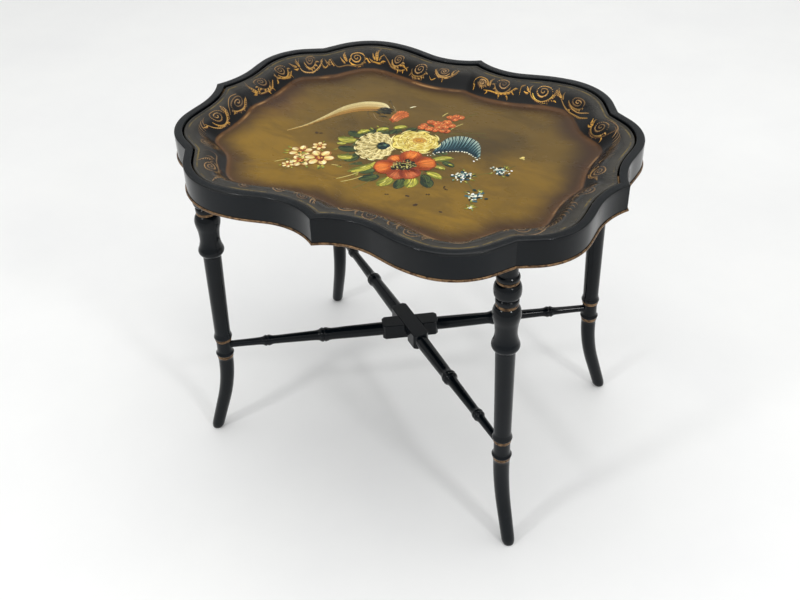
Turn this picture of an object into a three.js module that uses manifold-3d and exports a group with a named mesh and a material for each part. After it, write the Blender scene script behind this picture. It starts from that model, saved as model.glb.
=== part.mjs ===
// A tray table: a pressed-metal tray that lifts out of a shaped, black lacquered stand on four turned legs
// with crossed stretchers. Millimetres, +Z up. The origin is on the floor under the middle of the table,
// +X is the long axis and -Y is the front.

import * as THREE from "three";
import { mergeVertices } from "three/addons/utils/BufferGeometryUtils.js";
import Module from "manifold-3d";

const wasm = await Module();
wasm.setup();

// ---------------------------------------------------------------- driving dimensions

const frameLength = 680; // apron, tip to tip along X
const frameWidth = 522; // apron, tip to tip along Y
const tableHeight = 552; // floor to the apron's top edge
const jointGap = 0.3; // left between pieces that meet on a curved, turned or bored face

// The outline has a pointed tip in the middle of each side and a notch at each corner. Half a side runs
// from its tip through a hollow, over a crown and round a shoulder to the notch. Shares are of the run
// from tip to notch; depths are measured inwards from the tip.
const notchFromEnd = 82;
const notchFromSide = 73;
const longSide = {
  hollowShare: 0.225,
  hollowDepth: 18.5,
  crownShare: 0.612,
  crownDepth: 2,
  shoulderRadius: 100,
};
const shortSide = {
  hollowShare: 0.33,
  hollowDepth: 17.6,
  crownShare: 0.527,
  crownDepth: 16.4,
  shoulderRadius: 88,
};
const waveFill = 0.955; // share of the largest radii that fit between hollow and crown
const hollowPart = 0.34; // the hollow's part of those radii

const apronHeight = 38;
const apronThickness = 12;
const apronEase = 1.2; // eased top edges

const boardThickness = 4;
const boardNosing = 2; // how far the gilded edge stands proud of the apron

const trayClearance = 2; // between the tray's edge and the apron
const traySheet = 1.6;
const trayDrop = 2.6; // tray's rim below the apron's top
const trayWall = 46; // width of the sloping border, from the rim bead to the flat floor
const trayDepth = 23.4; // rim to floor
const rimBead = 3.8; // width of the rolled rim
const borderStart = 1.4; // where the border starts, below the rim's top
const restDepth = 3.7; // flat underside of the rim, below its top

const tipBlockReach = 13; // how far the tray's ledges stand in from the apron
const tipBlockHalf = 26; // half its length along the apron
const cornerBlockReach = 37;
const cornerBlockHalf = 23;
const cornerBlockSlack = 5.75; // further reach at which the corner blocks are held clear of the tray
const blockClearance = 1; // between the corner blocks and the tray's border

const legInset = 17.5; // leg's axis at the top, in from the notch
const legSplay = 8.6; // how far the straight part leans outwards
const footReach = 33; // further reach of the curved foot
const footBend = 0.6; // share of the foot's height that is curved
const kneeBelow = 23; // from the stretcher down to where the foot starts to curve
const kneeRadius = 12.5;
const toeRadius = 10;
const legWaist = 12.3; // leg's radius between its two bamboo nodes, where the stretcher enters
const tenonRadius = 8;
const tenonChamfer = 1;
const tenonClearance = 0.5; // between the tenon's end and the top of its block

const stretcherHeight = 182;
const stretcherEnd = 5.8; // radius where it enters the leg
const mortiseDepth = 13;
const mortiseSpare = 1; // left beyond the stretcher's end
const lapLength = 93; // squared block in the middle of each stretcher
const lapWidth = 27;
const lapCorner = 4.5; // cut off the block's upright corners

const screwRadius = 1.7;
const screwHead = 3.4;
const screwLength = 16;
const lapScrewLength = 21;
const screwSink = 0.3; // straight edge of the head
const cornerScrewGap = 7.5; // from the tenon to the screw beside it
const tipScrewShare = 0.45; // share of a tip block's reach at which its screw stands

const roundSides = 14;
const boreSides = 16;
const screwSides = 8;

// ---------------------------------------------------------------- worked-out sizes

const halfLength = frameLength / 2;
const halfWidth = frameWidth / 2;
const apronBottom = tableHeight - apronHeight;
const legTop = apronBottom - boardThickness;
const trayEdge = apronThickness + trayClearance;
const notch = new THREE.Vector2(halfLength - notchFromEnd, halfWidth - notchFromSide);
const diagonal = Math.atan2(notch.y, notch.x);
const legRadius = notch.length() - legInset;

// Upper face of the tray's border as [share of the border's width, share of its depth], rim to floor.
const borderCurve = [
  [0.19, 0],
  [0.38, 0.09],
  [0.52, 0.25],
  [0.64, 0.46],
  [0.75, 0.68],
  [0.86, 0.88],
  [1, 1],
];
const flatDepth = restDepth - traySheet;
const borderDown = (share) => flatDepth + share * (trayDepth - flatDepth);

// How far below its rim's top the tray's underside is, at an inset from the outside of the apron.
function undersideAt(inset) {
  const share = (inset - trayEdge - rimBead) / trayWall;
  const i = Math.max(1, borderCurve.findIndex(([across]) => across > share));
  const [[fromAcross, fromDown], [toAcross, toDown]] = [borderCurve[i - 1], borderCurve[i]];
  const part = Math.max(0, (share - fromAcross) / (toAcross - fromAcross));
  return borderDown(fromDown + (toDown - fromDown) * part) + traySheet;
}

// The corner blocks stop just under the tray, and the leg's tenon just under the top of its block.
const cornerBlockInset = apronThickness + cornerBlockReach + cornerBlockSlack;
const cornerBlockTop = tableHeight - trayDrop - undersideAt(cornerBlockInset) - blockClearance;
const tenonLength = cornerBlockTop - legTop - tenonClearance;
const kneeHeight = stretcherHeight - kneeBelow;

// ---------------------------------------------------------------- materials

const finish = (color, roughness, metalness = 0) =>
  new THREE.MeshStandardMaterial({ color, roughness, metalness });
const blackLacquer = finish(0x16181a, 0.35);
const paintedTray = finish(0x5d4522, 0.35, 0.2);
const giltEdge = finish(0x6e5430, 0.5);
const bareWood = finish(0xa98658, 0.8);
const steel = finish(0x9a9a9c, 0.4, 1);

// ---------------------------------------------------------------- mesh helpers

// Signed volume of a triangle list; negative when its faces point inwards.
function signedVolume(position, index) {
  const [a, b, c] = [new THREE.Vector3(), new THREE.Vector3(), new THREE.Vector3()];
  let sum = 0;
  for (let i = 0; i < index.length; i += 3) {
    a.fromBufferAttribute(position, index[i]);
    b.fromBufferAttribute(position, index[i + 1]);
    c.fromBufferAttribute(position, index[i + 2]);
    sum += a.dot(b.cross(c)) / 6;
  }
  return sum;
}

// Shared vertices, no collapsed triangles, faces outwards.
function cleaned(geometry) {
  const bare = new THREE.BufferGeometry();
  bare.setAttribute("position", geometry.getAttribute("position"));
  if (geometry.index) bare.setIndex(geometry.index);
  const merged = mergeVertices(bare, 1e-4);
  const kept = [];
  const index = merged.index.array;
  for (let i = 0; i < index.length; i += 3) {
    const [a, b, c] = [index[i], index[i + 1], index[i + 2]];
    if (a !== b && b !== c && c !== a) kept.push(a, b, c);
  }
  if (signedVolume(merged.attributes.position, kept) < 0) kept.reverse();
  merged.setIndex(kept);
  return merged;
}

// A closed skin over a list of rings with the same number of points, closed by a fan at each end.
function loft(rings) {
  const count = rings[0].length;
  const points = rings.flat();
  const index = [];
  for (let i = 0; i + 1 < rings.length; i++)
    for (let j = 0; j < count; j++) {
      const [a, b] = [i * count + j, i * count + ((j + 1) % count)];
      index.push(a, b, b + count, a, b + count, a + count);
    }
  for (const [start, flip] of [
    [0, true],
    [(rings.length - 1) * count, false],
  ]) {
    const middle = new THREE.Vector3();
    for (let j = 0; j < count; j++) middle.addScaledVector(points[start + j], 1 / count);
    points.push(middle);
    for (let j = 0; j < count; j++) {
      const [a, b] = [start + j, start + ((j + 1) % count)];
      if (flip) index.push(b, a, points.length - 1);
      else index.push(a, b, points.length - 1);
    }
  }
  const geometry = new THREE.BufferGeometry().setFromPoints(points);
  geometry.setIndex(index);
  return cleaned(geometry);
}

// A solid of revolution about Z from [radius, height] pairs that start and end on the axis.
function turned(profile, sides) {
  const lathe = new THREE.LatheGeometry(
    profile.map(([radius, height]) => new THREE.Vector2(radius, height)),
    sides,
  );
  return cleaned(lathe.rotateX(Math.PI / 2));
}

const rod = (radius, low, high, sides = boreSides) =>
  turned([[0, low], [radius, low], [radius, high], [0, high]], sides);

// A prism of a plan outline between two heights.
function prism(outline, low, high) {
  const geometry = new THREE.ExtrudeGeometry(new THREE.Shape(outline), {
    depth: high - low,
    bevelEnabled: false,
  });
  return cleaned(geometry.translate(0, 0, low));
}

const solidOf = (geometry) =>
  new wasm.Manifold(
    new wasm.Mesh({
      numProp: 3,
      vertProperties: new Float32Array(geometry.attributes.position.array),
      triVerts: new Uint32Array(geometry.index.array),
    }),
  );

function geometryOf(solid) {
  const mesh = solid.getMesh();
  const geometry = new THREE.BufferGeometry();
  geometry.setAttribute("position", new THREE.BufferAttribute(mesh.vertProperties, 3));
  geometry.setIndex(new THREE.BufferAttribute(mesh.triVerts, 1));
  return geometry;
}

const cut = (body, tools) =>
  geometryOf(tools.reduce((left, tool) => left.subtract(solidOf(tool)), solidOf(body)));

const join = (body, other) => geometryOf(solidOf(body).add(solidOf(other)));

const table = new THREE.Group();

function add(name, geometry, material, place = new THREE.Vector3()) {
  const mesh = new THREE.Mesh(geometry, material);
  mesh.name = name;
  mesh.position.copy(place);
  table.add(mesh);
  return mesh;
}

// ---------------------------------------------------------------- the outline

// Steps in each arc of half a side.
const tipSteps = 4;
const hollowSteps = 2;
const crownSteps = 3;
const shoulderSteps = 5;

// The arcs of half a side, in its own plane: 'along' from the tip, 'depth' inwards from it.
function arcsOf(side, run, notchDepth) {
  const hollow = run * side.hollowShare;
  const crown = run * side.crownShare;
  const rise = side.hollowDepth - side.crownDepth;
  const tipRadius = (hollow ** 2 + side.hollowDepth ** 2) / (2 * side.hollowDepth);
  const radii = (waveFill * ((crown - hollow) ** 2 + rise ** 2)) / (2 * rise);
  const slope =
    Math.atan2(crown - hollow, radii - rise) -
    Math.acos(radii / Math.hypot(crown - hollow, radii - rise));
  const toNotch = run - crown;
  const drop = notchDepth - side.crownDepth;
  const largest = (waveFill * (toNotch ** 2 + drop ** 2)) / (2 * drop);
  const shoulderRadius = Math.min(side.shoulderRadius, largest);
  const turn =
    Math.asin(shoulderRadius / Math.hypot(toNotch, drop - shoulderRadius)) -
    Math.atan2(shoulderRadius - drop, toNotch);
  return {
    ...side,
    hollow,
    crown,
    tipRadius,
    hollowRadius: radii * hollowPart,
    crownRadius: radii * (1 - hollowPart),
    slope,
    shoulderRadius,
    turn,
  };
}

const longArcs = arcsOf(longSide, notch.x, notchFromSide);
const shortArcs = arcsOf(shortSide, notch.y, notchFromEnd);

// [along, depth] points of half a side moved inwards by inset, from the tip to the end of the shoulder.
function halfSidePoints(arcs, inset) {
  const points = [];
  const sweep = (along, depth, radius, from, to, steps) => {
    for (let i = 0; i <= steps; i++) {
      const angle = from + ((to - from) * i) / steps;
      points.push([along + radius * Math.sin(angle), depth + radius * Math.cos(angle)]);
    }
  };
  const tip = arcs.tipRadius + inset;
  const hollow = arcs.hollowRadius + inset;
  const crown = arcs.crownRadius - inset;
  const shoulder = arcs.shoulderRadius - inset;
  const tipTurn = -Math.asin(arcs.hollow / tip);
  sweep(arcs.hollow, arcs.hollowDepth - arcs.tipRadius, tip, tipTurn, 0, tipSteps);
  points.pop();
  sweep(arcs.hollow, arcs.hollowDepth - arcs.hollowRadius, hollow, 0, arcs.slope, hollowSteps);
  sweep(arcs.crown, arcs.crownDepth + arcs.crownRadius, crown, Math.PI + arcs.slope, Math.PI, crownSteps);
  points.pop();
  const shoulderDepth = arcs.crownDepth + arcs.shoulderRadius;
  sweep(arcs.crown, shoulderDepth, shoulder, Math.PI, Math.PI - arcs.turn, shoulderSteps);
  points[0][0] = 0;
  return points;
}

// The corner notch moved inwards: where the two straights that meet there cross.
function notchPoint(inset) {
  const outLong = new THREE.Vector2(Math.sin(longArcs.turn), Math.cos(longArcs.turn));
  const outShort = new THREE.Vector2(Math.cos(shortArcs.turn), Math.sin(shortArcs.turn));
  const share = inset / (1 + outLong.dot(outShort));
  return notch.clone().addScaledVector(outLong.add(outShort), -share);
}

// Plan points of one half side, from tip to notch, in the quarter given by the signs of x and y.
function halfSide(isLong, signX, signY, inset) {
  const local = halfSidePoints(isLong ? longArcs : shortArcs, inset);
  const plan = local.map(([along, depth]) =>
    isLong ? new THREE.Vector2(along, halfWidth - depth) : new THREE.Vector2(halfLength - depth, along),
  );
  plan.push(notchPoint(inset));
  return plan.map((p) => new THREE.Vector2(p.x * signX, p.y * signY));
}

// The four quarters in the outline's order, and the tips each one starts from.
const quarters = [
  { name: "back_right", signX: 1, signY: 1 },
  { name: "back_left", signX: -1, signY: 1 },
  { name: "front_left", signX: -1, signY: -1 },
  { name: "front_right", signX: 1, signY: -1 },
];
const tips = ["right", "back", "left", "front"];

// The whole outline moved inwards by inset, anticlockwise from the +X tip.
function outline(inset) {
  const loop = [];
  for (const { signX, signY } of quarters) {
    const quarter = [
      ...halfSide(false, signX, signY, inset),
      ...halfSide(true, signX, signY, inset).reverse().slice(1),
    ];
    if (signX * signY < 0) quarter.reverse();
    loop.push(...quarter.slice(0, -1));
  }
  return loop;
}

const ringAt = (points, height) => points.map((p) => new THREE.Vector3(p.x, p.y, height));

// ---------------------------------------------------------------- places

// A point in the diagonal plane of a quarter, at a distance from the table's middle.
const onDiagonal = ({ signX, signY }, radius, height = 0) =>
  new THREE.Vector3(signX * radius * Math.cos(diagonal), signY * radius * Math.sin(diagonal), height);

const tenonBore = (quarter) => {
  const spot = onDiagonal(quarter, legRadius);
  return rod(tenonRadius + jointGap, legTop - 1, legTop + tenonLength + 1).translate(spot.x, spot.y, 0);
};

// ---------------------------------------------------------------- apron

// Section of the apron as [inset, height], with eased top edges.
const apronSection = [
  [0, apronBottom],
  [0, tableHeight - apronEase],
  [apronEase, tableHeight],
  [apronThickness - apronEase, tableHeight],
  [apronThickness, tableHeight - apronEase],
  [apronThickness, apronBottom],
];

function apronPiece(isLong, quarter) {
  const lines = apronSection.map(([inset]) => halfSide(isLong, quarter.signX, quarter.signY, inset));
  const rings = lines[0].map((_, i) =>
    apronSection.map(([, height], j) => new THREE.Vector3(lines[j][i].x, lines[j][i].y, height)),
  );
  return cut(loft(rings), [tenonBore(quarter), screwBore(apronScrewSpot(isLong, quarter))]);
}

function buildApron() {
  for (const quarter of quarters) {
    const [depthName, sideName] = quarter.name.split("_");
    add(`apron_${depthName}_${sideName}`, apronPiece(true, quarter), blackLacquer);
    add(`apron_${sideName}_end_${depthName}`, apronPiece(false, quarter), blackLacquer);
  }
}

// ---------------------------------------------------------------- blocks under the tray's border

// A plan outline that follows the inside of the apron for some points each side of 'middle', then
// closes across the well.
const wellLine = outline(apronThickness + jointGap);

// The point at a plan distance along the well's line from the point numbered 'start'.
function walk(start, step, distance) {
  let left = distance;
  const passed = [];
  for (let i = start; ; i += step) {
    const here = wellLine[(i + wellLine.length) % wellLine.length];
    const next = wellLine[(i + step + wellLine.length) % wellLine.length];
    const length = here.distanceTo(next);
    if (length >= left) return [...passed, here.clone().lerp(next, left / length)];
    left -= length;
    passed.push(next);
  }
}

function blockOutline(start, half, reach) {
  const inward = wellLine[start].clone().normalize().negate();
  const ahead = walk(start, 1, half);
  const behind = walk(start, -1, half);
  const across = (point) => {
    const drop = reach - point.clone().sub(wellLine[start]).dot(inward);
    return point.clone().addScaledVector(inward, drop);
  };
  return [
    ...behind.slice().reverse(),
    wellLine[start],
    ...ahead,
    across(ahead[ahead.length - 1]),
    across(behind[behind.length - 1]),
  ];
}

const quarterSteps = wellLine.length / 4;
const notchStep = halfSidePoints(shortArcs, 0).length;

// Glue block behind each tip; the tray's rim rests on its top.
function buildTipBlocks() {
  const top = tableHeight - trayDrop - restDepth;
  tips.forEach((name, i) => {
    const plan = blockOutline(i * quarterSteps, tipBlockHalf, tipBlockReach);
    const body = prism(plan, apronBottom, top);
    add(`tip_block_${name}`, cut(body, [screwBore(tipScrewSpot(i))]), bareWood);
  });
}

// Block behind each notch; it takes the leg's tenon.
function buildCornerBlocks() {
  quarters.forEach((quarter, i) => {
    const start = i * quarterSteps + (i % 2 ? quarterSteps - notchStep : notchStep);
    const plan = blockOutline(start, cornerBlockHalf, cornerBlockReach);
    const bores = [tenonBore(quarter), screwBore(cornerScrewSpot(quarter))];
    const body = prism(plan, apronBottom, cornerBlockTop);
    add(`corner_block_${quarter.name}`, cut(body, bores), bareWood);
  });
}

// ---------------------------------------------------------------- screws

const screwProfile = (length, grow = 0) => [
  [0, -grow],
  [screwHead + grow, -grow],
  [screwHead + grow, screwSink],
  [screwRadius + grow, screwSink + screwHead - screwRadius],
  [screwRadius + grow, length * 0.8],
  [0.5 + grow, length + grow],
  [0, length + grow],
];

const screwBore = (spot, length = screwLength, base = legTop) =>
  turned(screwProfile(length, jointGap), screwSides).translate(spot.x, spot.y, base);

// Spots on the board's underside: one into each tip block, each corner block and each apron piece.
function tipScrewSpot(i) {
  const tip = wellLine[i * quarterSteps];
  return tip.clone().addScaledVector(tip.clone().normalize(), -tipBlockReach * tipScrewShare);
}

const cornerScrewSpot = (quarter) => onDiagonal(quarter, legRadius - tenonRadius - cornerScrewGap);

function apronScrewSpot(isLong, quarter) {
  const line = halfSide(isLong, quarter.signX, quarter.signY, apronThickness / 2);
  return line[tipSteps + hollowSteps + crownSteps + 1];
}

const screwSpots = [
  ...tips.map((name, i) => [`tip_block_${name}`, tipScrewSpot(i)]),
  ...quarters.map((quarter) => [`corner_block_${quarter.name}`, cornerScrewSpot(quarter)]),
  ...quarters.map((quarter) => [`apron_${quarter.name}`, apronScrewSpot(true, quarter)]),
  ...quarters.map((quarter) => [`apron_end_${quarter.name}`, apronScrewSpot(false, quarter)]),
];

function buildScrews() {
  for (const [name, spot] of screwSpots) {
    const place = new THREE.Vector3(spot.x, spot.y, legTop);
    add(`screw_${name}`, turned(screwProfile(screwLength), screwSides), steel, place);
  }
  const underLap = new THREE.Vector3(0, 0, stretcherHeight - lapWidth / 2);
  add("screw_stretcher_lap", turned(screwProfile(lapScrewLength), screwSides), steel, underLap);
}

// ---------------------------------------------------------------- board with its rounded, gilded edge

function buildBoard() {
  const middle = legTop + boardThickness / 2;
  const rings = [-1, -0.5, 0.5, 1].map((share) => {
    const proud = boardNosing * Math.sqrt(1 - share ** 2);
    return ringAt(outline(-proud), middle + (share * boardThickness) / 2);
  });
  const bores = quarters.map((quarter) => tenonBore(quarter));
  const screws = screwSpots.map(([, spot]) => screwBore(spot));
  add("base_board", cut(loft(rings), [...bores, ...screws]), giltEdge);
}

// ---------------------------------------------------------------- tray

function buildTray() {
  const rimTop = tableHeight - trayDrop;
  const bead = [
    [0, 0.5 * rimBead],
    [0.2 * rimBead, 0.1 * rimBead],
    [0.5 * rimBead, 0],
    [rimBead, borderStart],
  ];
  const border = borderCurve.map(([across, down]) => [rimBead + across * trayWall, borderDown(down)]);
  const under = border.map(([across, down]) => [across, down + traySheet]).reverse();
  const section = [...under, [0.3 * rimBead, restDepth], ...bead, ...border];
  const rings = section.map(([across, down]) => ringAt(outline(trayEdge + across), rimTop - down));
  add("tray", loft(rings), paintedTray);
}

// ---------------------------------------------------------------- legs

// The leg's turning as [height, radius], top to floor. Heights of the upper group hang from the leg's
// top, those of the two bamboo nodes stand about the stretcher's height.
function legProfile() {
  const upper = [
    [0, 13.6], [15, 13.2], [20, 15.6], [23.5, 16.1], [29, 15.4], [30.5, 14.2],
    [35.5, 17.8], [43, 19], [50.5, 17.8], [55.5, 14.6],
    [57.5, 15.8], [61, 16.2], [68.5, 15.2],
    [74, 18.4], [81, 19.8], [89, 18.9], [98, 16.9], [109, 15.7], [117, 15.7],
    [131.5, 19.3], [135.5, 20], [140, 18.6], [145.5, 14.1],
  ].map(([down, radius]) => [legTop - down, radius]);
  const nodes = [
    [27, 12.7], [20, 14.9], [17.3, 13.5], [12, 13.2], [11, 12.4],
    [-7, 12.3], [-13.5, 14.9], [-16.5, 13.6], [-21.2, 13.3], [-22.5, 12.6],
  ].map(([up, radius]) => [stretcherHeight + up, radius]);
  return [...upper, ...nodes];
}

// The foot: an arc outwards from the knee, then a straight to the floor, as [height, outward].
function footLine() {
  const bendHeight = kneeHeight * footBend;
  const straight = kneeHeight - bendHeight;
  const tilt = 2 * Math.atan2(footReach, kneeHeight + straight);
  const radius = bendHeight / Math.sin(tilt);
  const line = [0.25, 0.5, 0.75, 1].map((share) => {
    const angle = tilt * share;
    return [kneeHeight - radius * Math.sin(angle), radius * (1 - Math.cos(angle)), angle];
  });
  const bendEnd = line[line.length - 1][1];
  for (const height of [3 * toeRadius, toeRadius, 0.3 * toeRadius, 0])
    line.push([height, bendEnd + (straight - height) * Math.tan(tilt), tilt]);
  return line;
}

// How far the leg's axis stands from the middle, at a height on its straight part.
const legAxis = (height) => legRadius + (legSplay * (legTop - height)) / (legTop - kneeHeight);

// How far from the middle the stretcher enters the leg, and where it ends inside.
const mortiseMouth = legAxis(stretcherHeight) - legWaist;
const stretcherReach = mortiseMouth + mortiseDepth;

function legGeometry(quarter) {
  const ring = (height, radius, reach, tilt) => {
    const circle = [];
    for (let i = 0; i < roundSides; i++) {
      const angle = (2 * Math.PI * i) / roundSides;
      const outward = radius * Math.cos(angle);
      const sideways = radius * Math.sin(angle);
      const point = onDiagonal(quarter, reach + outward * Math.cos(tilt), height + outward * Math.sin(tilt));
      const across = onDiagonal(quarter, sideways);
      circle.push(point.add(new THREE.Vector3(-across.y, across.x, 0)));
    }
    return circle;
  };
  const rings = [
    ring(legTop + tenonLength, tenonRadius - tenonChamfer, legRadius, 0),
    ring(legTop + tenonLength - tenonChamfer, tenonRadius, legRadius, 0),
    ring(legTop, tenonRadius, legRadius, 0),
  ];
  for (const [height, radius] of legProfile()) rings.push(ring(height, radius, legAxis(height), 0));
  for (const [height, outward, tilt] of footLine()) {
    const taper = toeRadius + ((kneeRadius - toeRadius) * height) / kneeHeight;
    const rounded = height < toeRadius ? Math.sqrt(1 - (1 - height / toeRadius) ** 2) : 1;
    const radius = taper * (0.7 + 0.3 * rounded);
    const lean = height > toeRadius ? tilt : (tilt * height) / toeRadius;
    rings.push(ring(height, radius, legAxis(kneeHeight) + outward, lean));
  }
  const start = onDiagonal(quarter, mortiseMouth - legWaist, stretcherHeight);
  const mortise = rod(stretcherEnd + jointGap, 0, legWaist + mortiseDepth + mortiseSpare);
  mortise.rotateY(Math.PI / 2).rotateZ(Math.atan2(start.y, start.x));
  mortise.translate(start.x, start.y, start.z);
  return cut(loft(rings), [mortise]);
}

// ---------------------------------------------------------------- stretchers

// Half of a stretcher as [distance from the middle, radius]: it thins towards the leg in three lengths
// divided by bamboo nodes.
const stretcherTurning = [
  [0, 11], [40, 11], [120, 10], [134, 10.2], [141, 12], [144.5, 11.2], [148, 12], [153, 9.2],
  [165, 8.3], [222, 7.2], [230, 7.5], [235.5, 9.2], [238.5, 8.4], [241.5, 9.2], [246, 6.9], [255, 6.3],
];

function stretcherGeometry(notchOnTop) {
  const ring = (distance, radius) => {
    const circle = [];
    for (let i = 0; i < roundSides; i++) {
      const angle = (2 * Math.PI * i) / roundSides;
      circle.push(new THREE.Vector3(distance, radius * Math.cos(angle), radius * Math.sin(angle)));
    }
    return circle;
  };
  const ends = [
    [mortiseMouth - legWaist, stretcherEnd],
    [stretcherReach, stretcherEnd],
  ];
  const half = [...stretcherTurning, ...ends];
  const rings = [
    ...half.slice(1).reverse().map(([distance, radius]) => ring(-distance, radius)),
    ...half.slice(1).map(([distance, radius]) => ring(distance, radius)),
  ];
  const [end, side] = [lapLength / 2, lapWidth / 2];
  const corner = [
    [end, side - lapCorner],
    [end - lapCorner, side],
    [lapCorner - end, side],
    [-end, side - lapCorner],
  ];
  const plan = [...corner, ...corner.map(([x, y]) => [-x, -y])].map(([x, y]) => new THREE.Vector2(x, y));
  const block = prism(plan, -side, side);
  const gap = jointGap / 2;
  const lap = new THREE.BoxGeometry(lapLength * 2, lapWidth + 2 * gap, lapWidth);
  lap.rotateZ(notchOnTop ? -2 * diagonal : 2 * diagonal);
  lap.translate(0, 0, notchOnTop ? side - gap : gap - side);
  const screw = turned(screwProfile(lapScrewLength, jointGap), screwSides).translate(0, 0, -side);
  return cut(join(loft(rings), block), [cleaned(lap), screw]);
}

function buildUnderframe() {
  for (const quarter of quarters) add(`leg_${quarter.name}`, legGeometry(quarter), blackLacquer);
  const place = new THREE.Vector3(0, 0, stretcherHeight);
  const rising = add("stretcher_front_left_to_back_right", stretcherGeometry(true), blackLacquer, place);
  const falling = add("stretcher_front_right_to_back_left", stretcherGeometry(false), blackLacquer, place);
  rising.rotation.z = diagonal;
  falling.rotation.z = -diagonal;
}

// ---------------------------------------------------------------- assembly

buildTray();
buildApron();
buildTipBlocks();
buildCornerBlocks();
buildBoard();
buildUnderframe();
buildScrews();

export default table;
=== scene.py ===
import math
import bpy
import numpy as np
from mathutils import Matrix, Vector


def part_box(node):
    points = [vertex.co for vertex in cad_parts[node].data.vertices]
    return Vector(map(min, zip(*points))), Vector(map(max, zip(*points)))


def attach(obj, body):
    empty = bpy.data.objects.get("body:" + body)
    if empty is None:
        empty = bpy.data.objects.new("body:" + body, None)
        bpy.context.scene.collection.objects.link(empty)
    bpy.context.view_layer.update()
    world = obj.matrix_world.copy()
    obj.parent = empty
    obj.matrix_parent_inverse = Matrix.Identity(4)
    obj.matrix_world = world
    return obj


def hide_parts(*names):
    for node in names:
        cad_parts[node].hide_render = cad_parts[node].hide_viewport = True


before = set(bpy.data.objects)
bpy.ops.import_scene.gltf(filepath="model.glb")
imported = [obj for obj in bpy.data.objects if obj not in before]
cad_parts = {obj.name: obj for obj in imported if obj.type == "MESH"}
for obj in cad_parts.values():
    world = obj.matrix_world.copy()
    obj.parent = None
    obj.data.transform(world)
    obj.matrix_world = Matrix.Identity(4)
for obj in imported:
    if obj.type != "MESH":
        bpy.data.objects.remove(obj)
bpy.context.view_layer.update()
mm = 0.001

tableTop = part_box("apron_front_left")[1].z
boardLow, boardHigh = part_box("base_board")[0].z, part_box("base_board")[1].z
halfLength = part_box("apron_right_end_front")[1].x
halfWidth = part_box("apron_back_left")[1].y
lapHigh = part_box("stretcher_front_left_to_back_right")[1].z
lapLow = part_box("stretcher_front_left_to_back_right")[0].z
stretcherHeight = (lapHigh + lapLow) / 2
print("frame loaded,", len(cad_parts), "nodes")


# meshes from grids of points

def gridQuads(rows, cols, wrap=True):
    # each quad joins a point to its neighbours in the next row and column
    r = np.arange(rows - 1)[:, None]
    c = np.arange(cols if wrap else cols - 1)[None, :]
    n = (c + 1) % cols
    corners = [r * cols + c, r * cols + n, (r + 1) * cols + n, (r + 1) * cols + c]
    return np.stack(np.broadcast_arrays(*corners), -1).reshape(-1, 4)


def volumeOf(points, quads, tris):
    # sum of the tetrahedra from the origin to each triangle
    faces = np.concatenate([quads[:, [0, 1, 2]], quads[:, [0, 2, 3]], tris])
    a, b, c = (points[faces[:, i]] for i in range(3))
    return np.einsum("ij,ij->", a, np.cross(b, c)) / 6


def buildMesh(name, points, quads, tris=None, sharpAngle=38):
    # one mesh of quads and triangles, turned inside out where its signed volume is below 0
    tris = np.zeros((0, 3), int) if tris is None else tris
    if volumeOf(points, quads, tris) < 0:
        quads, tris = quads[:, ::-1], tris[:, ::-1]
    mesh = bpy.data.meshes.new(name)
    mesh.vertices.add(len(points))
    mesh.vertices.foreach_set("co", points.astype(np.float32).ravel())
    loops = np.concatenate([quads.ravel(), tris.ravel()])
    mesh.loops.add(len(loops))
    mesh.loops.foreach_set("vertex_index", loops.astype(np.int32))
    starts = np.concatenate([np.arange(len(quads)) * 4, len(quads) * 4 + np.arange(len(tris)) * 3])
    mesh.polygons.add(len(starts))
    mesh.polygons.foreach_set("loop_start", starts.astype(np.int32))
    mesh.polygons.foreach_set("use_smooth", np.ones(len(starts), bool))
    mesh.update(calc_edges=True)
    mesh.validate()
    mesh.set_sharp_from_angle(angle=math.radians(sharpAngle))
    return mesh


def closedGrid(grid, values=None):
    # a skin of rings, closed by a fan on the middle of the first ring and of the last
    rows, cols = grid.shape[:2]
    points = np.concatenate([grid.reshape(-1, 3), grid[:1].mean(1), grid[-1:].mean(1)])
    quads = gridQuads(rows, cols)
    c = np.arange(cols)
    n = (c + 1) % cols
    first = np.stack([n, c, np.full(cols, rows * cols)], -1)
    last = np.stack([(rows - 1) * cols + c, (rows - 1) * cols + n, np.full(cols, rows * cols + 1)], -1)
    flat = {}
    for key, value in (values or {}).items():
        flat[key] = np.concatenate([value.ravel(), value[:1].mean(1), value[-1:].mean(1)])
    return points, quads, np.concatenate([first, last]), flat


def joined(parts):
    # several skins in one mesh
    points, quads, tris, flat, count = [], [], [], {}, 0
    for p, q, t, f in parts:
        points.append(p)
        quads.append(q + count)
        tris.append(t + count)
        for key, value in f.items():
            flat.setdefault(key, []).append(value)
        count += len(p)
    return (np.concatenate(points), np.concatenate(quads), np.concatenate(tris),
            {key: np.concatenate(value) for key, value in flat.items()})


def addPiece(name, skin, material, body, stands=(), sharpAngle=38):
    # a skin as a finished piece: its arrays become attributes, and it rides, fills a slot and replaces nodes
    points, quads, tris, flat = skin
    mesh = buildMesh(name, points, quads, tris, sharpAngle)
    for key, value in flat.items():
        if value.ndim == 2:
            mesh.attributes.new(key, "FLOAT_COLOR",
                                "POINT").data.foreach_set("color", value.astype(np.float32).ravel())
        else:
            mesh.attributes.new(key, "FLOAT", "POINT").data.foreach_set("value", value.astype(np.float32))
    piece = bpy.data.objects.new(name, mesh)
    bpy.context.scene.collection.objects.link(piece)
    mesh.materials.append(material)
    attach(piece, body)
    if stands:
        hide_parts(*stands)
    return piece


# material helpers

def toLinear(share):
    # display shares as linear light: a straight toe, then a power of 2.4
    return np.where(share <= 0.04045, share / 12.92, ((share + 0.055) / 1.055) ** 2.4)


def paint(red, green, blue):
    # display values 0 to 255 as the linear colour that a shader takes
    return tuple(toLinear(np.array([red, green, blue]) / 255)) + (1.0,)


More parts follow.
